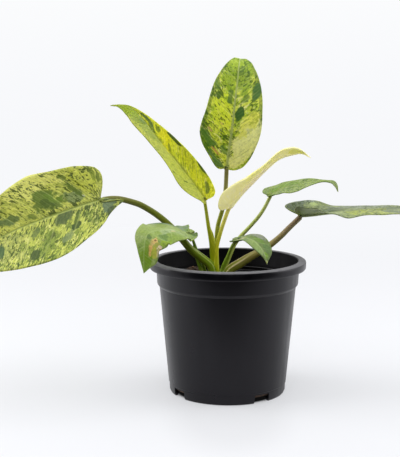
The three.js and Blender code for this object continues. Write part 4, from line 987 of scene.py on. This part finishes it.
look = dict(
    ground=(140, 162, 76), cloud=(154, 174, 98), clouds=0.7, dark=(100, 126, 46), dashes=0.5,
    crowding=-0.03, seed=3.3, vein=(174, 192, 120), fine=0.1, side=0.2, rib=0.4, pairs=6,
    under=(140, 158, 84),
    washes=[
        (0.3, -0.5, 0.25, 0.5, 0.6, 0.6, (156, 174, 98)),
        (0.43, 0.86, 0.14, 0.15, 0.5, 0.9, (146, 174, 34)),
        (0.24, 0.55, 0.2, 0.4, 0.6, 0.5, (124, 150, 56)),
        (0.88, 0.38, 0.17, 0.5, 0.6, 0.95, (116, 152, 0)),
        (0.88, -0.5, 0.17, 0.6, 0.6, 0.95, (116, 152, 0)),
        (0.69, 0.15, 0.07, 0.2, 0.6, 0.75, (120, 152, 40)),
        (0.7, -0.44, 0.08, 0.5, 0.6, 0.7, (128, 160, 56)),
        (0.41, 0.5, 0.075, 0.2, 0.6, 0.8, (98, 130, 66)),
        # Painted sheen: a pale grey patch where the blade catches the light.
        (0.32, 0.19, 0.1, 0.18, 0.6, 0.6, (168, 186, 140)),
        # Painted shade in a fold: a dark blue-grey band.
        (0.0, -0.56, 0.09, 0.42, 0.4, 0.8, (120, 144, 112)),
        (-0.04, -0.35, 0.045, 0.2, 0.6, 0.8, (112, 152, 36)),
        (-0.15, 0.5, 0.14, 0.45, 0.4, 0.6, (122, 148, 86)),
        # Painted shade on the curled-back lobe.
        (-0.19, 0.5, 0.09, 0.6, 0.4, 0.8, (84, 108, 54))],
    patches=[
        (0.24, 0.25, 0.035, 0.1, 0.8, 0.6, (198, 182, 124)),
        # Painted shade: a dark line along a fold.
        (0.58, 0.13, 0.025, 0.14, 0.6, 0.8, (88, 118, 54)),
        (0.608, 0.63, 0.07, 0.2, 1.5, 0.6, (182, 176, 56)),
        (0.7, 0.78, 0.06, 0.2, 1.3, 0.7, (190, 188, 60)),
        (0.65, 0.45, 0.1, 0.12, 1.6, 0.6, (188, 180, 84)),
        (0.56, 0.44, 0.05, 0.15, 2.0, 0.8, (226, 190, 114)),
        (0.71, 0.46, 0.042, 0.12, 1.9, 0.8, (222, 176, 104)),
        (0.63, 0.5, 0.03, 0.09, 2.0, 0.7, (218, 184, 116)),
        (0.6, 0.85, 0.03, 0.1, 1.7, 0.85, (238, 216, 184)),
        (0.66, 0.95, 0.05, 0.06, 1.7, 0.7, (222, 196, 164)),
        (0.562, 0.49, 0.014, 0.05, 1.2, 0.9, (128, 80, 30)),
        (0.71, 0.36, 0.02, 0.02, 1.2, 0.6, (160, 110, 50)),
        (0.62, 0.97, 0.012, 0.03, 0.8, 0.9, (150, 100, 80))],
    stalk=dict(foot=(92, 120, 10), middle=(104, 132, 24), top=(136, 162, 76), fleck=(66, 88, 14),
               sheath_edge=(190, 204, 92), underside_shade=(70, 88, 14)))
grow_leaf("low_left", shape, look)


# An old small leaf that droops inside the lip at the front right: dull green with a pale tip, on a
# short thin stalk.
shape = dict(
    stalk=[(2, -8, -2), (1.5, -8.5, 8), (2.5, -9, 16.5), (5, -10, 23.5), (8.5, -12.5, 32),
           (11.5, -16.5, 40.5), (14.5, -19.5, 46.5), (19, -22, 50)],
    radius=[2.8, 2.2, 1.8, 1.4],
    spine=[(19.5, -22, 51), (25.5, -27, 52.5), (32, -33, 51), (37.5, -38, 46.5), (42, -41, 40),
           (45, -42, 29.5)],
    face=[(0, -0.35, 1), (0.3, -0.6, 0.8), (0.7, -0.75, 0.3), (0.6, -0.9, 0)],
    left=dict(width=12, fold=[5, 8, 5, 5], wave=0.2, waves=2, outline=[
        (0, 0), (-0.12, 0.08), (-0.23, 0.16), (-0.24, 0.3), (-0.15, 0.42), (-0.02, 0.44), (0.08, 0.42),
        (0.13, 0.48), (0.19, 0.62), (0.27, 0.79), (0.365, 0.98), (0.47, 1.05), (0.585, 1.05), (0.69, 0.96),
        (0.78, 0.8), (0.85, 0.57), (0.905, 0.33), (0.96, 0.11), (1, 0)]),
    right=dict(width=12, fold=[5, 8, 5, 5], wave=0.2, waves=2, outline=[
        (0, 0), (-0.12, 0.08), (-0.23, 0.16), (-0.23, 0.3), (-0.13, 0.42), (0, 0.48), (0.12, 0.54),
        (0.24, 0.63), (0.34, 0.73), (0.44, 0.8), (0.55, 0.8), (0.64, 0.72), (0.735, 0.55), (0.8, 0.36),
        (0.88, 0.17), (0.95, 0.05), (1, 0)]))
look = dict(
    ground=(110, 132, 68), cloud=(126, 146, 86), clouds=0.6, dark=(80, 102, 44), dashes=0.4,
    crowding=-0.03, seed=5.2, vein=(166, 186, 122), fine=0.1, side=0.3, rib=0.5, pairs=6,
    under=(120, 140, 80),
    washes=[
        (0.506, -0.47, 0.25, 0.5, 0.3, 0.8, (138, 162, 88)),
        (0.6, 0.64, 0.13, 0.3, 0.5, 0.8, (96, 128, 66)),
        (0.386, 0.36, 0.1, 0.26, 0.5, 0.7, (120, 156, 62)),
        (0.18, 0.75, 0.17, 0.27, 0.3, 0.85, (150, 154, 138)),
        (0.8, 0.3, 0.07, 0.4, 0.5, 0.8, (136, 176, 50)),
        (0.02, -0.3, 0.12, 0.4, 0.6, 0.7, (188, 178, 138)),
        (-0.06, 0.15, 0.15, 0.2, 0.6, 0.6, (188, 178, 138))],
    patches=[
        (-0.19, 0.55, 0.1, 0.5, 0.3, 0.5, (138, 150, 108)),
        (-0.18, 0.9, 0.05, 0.12, 0.3, 0.9, (92, 112, 72)),
        (-0.16, -0.8, 0.07, 0.2, 0.3, 0.9, (92, 112, 72)),
        (0.96, 0.4, 0.05, 0.6, 0.3, 0.9, (208, 210, 126)),
        (0.96, -0.5, 0.05, 0.6, 0.3, 0.9, (208, 210, 126))],
    stalk=dict(foot=(130, 162, 20), middle=(138, 168, 40), top=(152, 176, 82), fleck=(96, 124, 20),
               sheath_edge=(200, 214, 118), underside_shade=(106, 134, 18)))
grow_leaf("low_right", shape, look)


# The studio: a white floor that curves up into a wall all round, large soft lights from the left,
# the right and above, and the camera a little above the pot, as in a product photograph.
SWEEP_RADIUS = 2.6
SWEEP_BEND = 0.9
WALL_HEIGHT = 3.0
CAMERA_PLACE = (-0.02745, -1.0332, 0.3088)
CAMERA_TILT = 8.05  # degrees down
FOCAL_PIXELS = 1057.3
FRAME_HEIGHT = 457
FLOOR_COLOUR = (0.735, 0.74, 0.765, 1)
BLACK = (0, 0, 0, 1)

bend = [(SWEEP_RADIUS + SWEEP_BEND * math.sin(a), SWEEP_BEND * (1 - math.cos(a)))
        for a in (math.radians(6 * step) for step in range(16))]
bm = turned([(0, 0), (0.6, 0), (1.4, 0), *bend, (SWEEP_RADIUS + SWEEP_BEND, WALL_HEIGHT)], 96)
bmesh.ops.reverse_faces(bm, faces=bm.faces)


def studio_white():
    """Lit white floor near the pot. Further out the sweep glows evenly, as a lit backdrop does, but
    the part behind the camera gives no light back to the plant. The floor under the pot is painted
    black as painted shade, and a soft painted shadow darkens the floor in front of the pot."""
    material, tree, shader = finish_named("studio white")
    place = put(tree, "ShaderNodeTexCoord").outputs["Object"]
    axes = put(tree, "ShaderNodeSeparateXYZ", {0: place}).outputs
    away = vector_maths(tree, "LENGTH", place, result="Value")
    # Under the pot the floor is painted black and its glow is taken away: painted shade.
    painted_shade_under_pot = ramp(tree, away, 0.056, 0.05)
    far = ramp(tree, away, 0.2, 1.2, 0.4, 1.0)
    seen = put(tree, "ShaderNodeLightPath").outputs["Is Camera Ray"]
    front = times(tree, ramp(tree, axes["Y"], -0.1, -0.28), maths(tree, "SUBTRACT", 1.0, seen))
    unlit = maths(tree, "MAXIMUM", front, painted_shade_under_pot)
    glow = tint(tree, ramp(tree, axes["Z"], 0.0, 1.2), linear(247, 248, 251), linear(254, 255, 255))
    glow = tint(tree, far, BLACK, glow)
    glow = tint(tree, unlit, glow, (0.005, 0.005, 0.005, 1))
    floor_white = tint(tree, maths(tree, "MAXIMUM", far, unlit), FLOOR_COLOUR, BLACK)
    # A soft painted shadow darkens the floor and its glow in an ellipse in front of the pot.
    painted_shadow_distance = vector_maths(tree, "DISTANCE", stretched(tree, place, (1.8, 1, 1)), (0, -0.09, 0),
                              result="Value")
    shade = ramp(tree, painted_shadow_distance, 0.05, 0.13, 0.92, 1.0)
    feed(tree, shader, {
        "Base Color": tint(tree, 1.0, floor_white, shade, blend="MULTIPLY"), "Roughness": 0.9,
        "Emission Color": tint(tree, 1.0, glow, shade, blend="MULTIPLY"), "Emission Strength": 1,
        "Specular IOR Level": 0})
    return material


floor = made_piece("studio_floor", bm, [studio_white()])
floor.location.z = -0.3 * MM


def soft_light(name, place, aim, size, power):
    lamp = bpy.data.lights.new(name, "AREA")
    lamp.shape, lamp.size, lamp.size_y = "RECTANGLE", size[0], size[1]
    lamp.energy = power
    light = bpy.data.objects.new(name, lamp)
    light.location = place
    light.rotation_euler = (Vector(aim) - Vector(place)).to_track_quat("-Z", "Y").to_euler()
    light.visible_camera = False
    bpy.context.scene.collection.objects.link(light)


soft_light("left softbox", (-1.4, 0.0, 0.75), (0, 0, 0.12), (1.2, 1.2), 15)
soft_light("right softbox", (1.4, 0.0, 0.75), (0, 0, 0.12), (1.2, 1.2), 13)
soft_light("top softbox", (0, -0.5, 1.9), (0, 0, 0.1), (2.2, 2.2), 16)
soft_light("front softbox", (0, -2.0, 1.6), (0, 0, 0.25), (1.5, 1.5), 10)
world = bpy.data.worlds.new("studio air")
bpy.context.scene.world = world
world.use_nodes = True
world.node_tree.nodes["Background"].inputs["Color"].default_value = (0.97, 0.98, 1, 1)
world.node_tree.nodes["Background"].inputs["Strength"].default_value = 0.6

camera = bpy.data.objects.new("camera", bpy.data.cameras.new("camera"))
camera.location = CAMERA_PLACE
camera.rotation_euler = (math.radians(90 - CAMERA_TILT), 0, 0)
camera.data.sensor_width = 36
camera.data.lens = 36 * FOCAL_PIXELS / FRAME_HEIGHT
bpy.context.scene.collection.objects.link(camera)
bpy.context.scene.camera = camera
bpy.context.scene.view_settings.view_transform = "Standard"
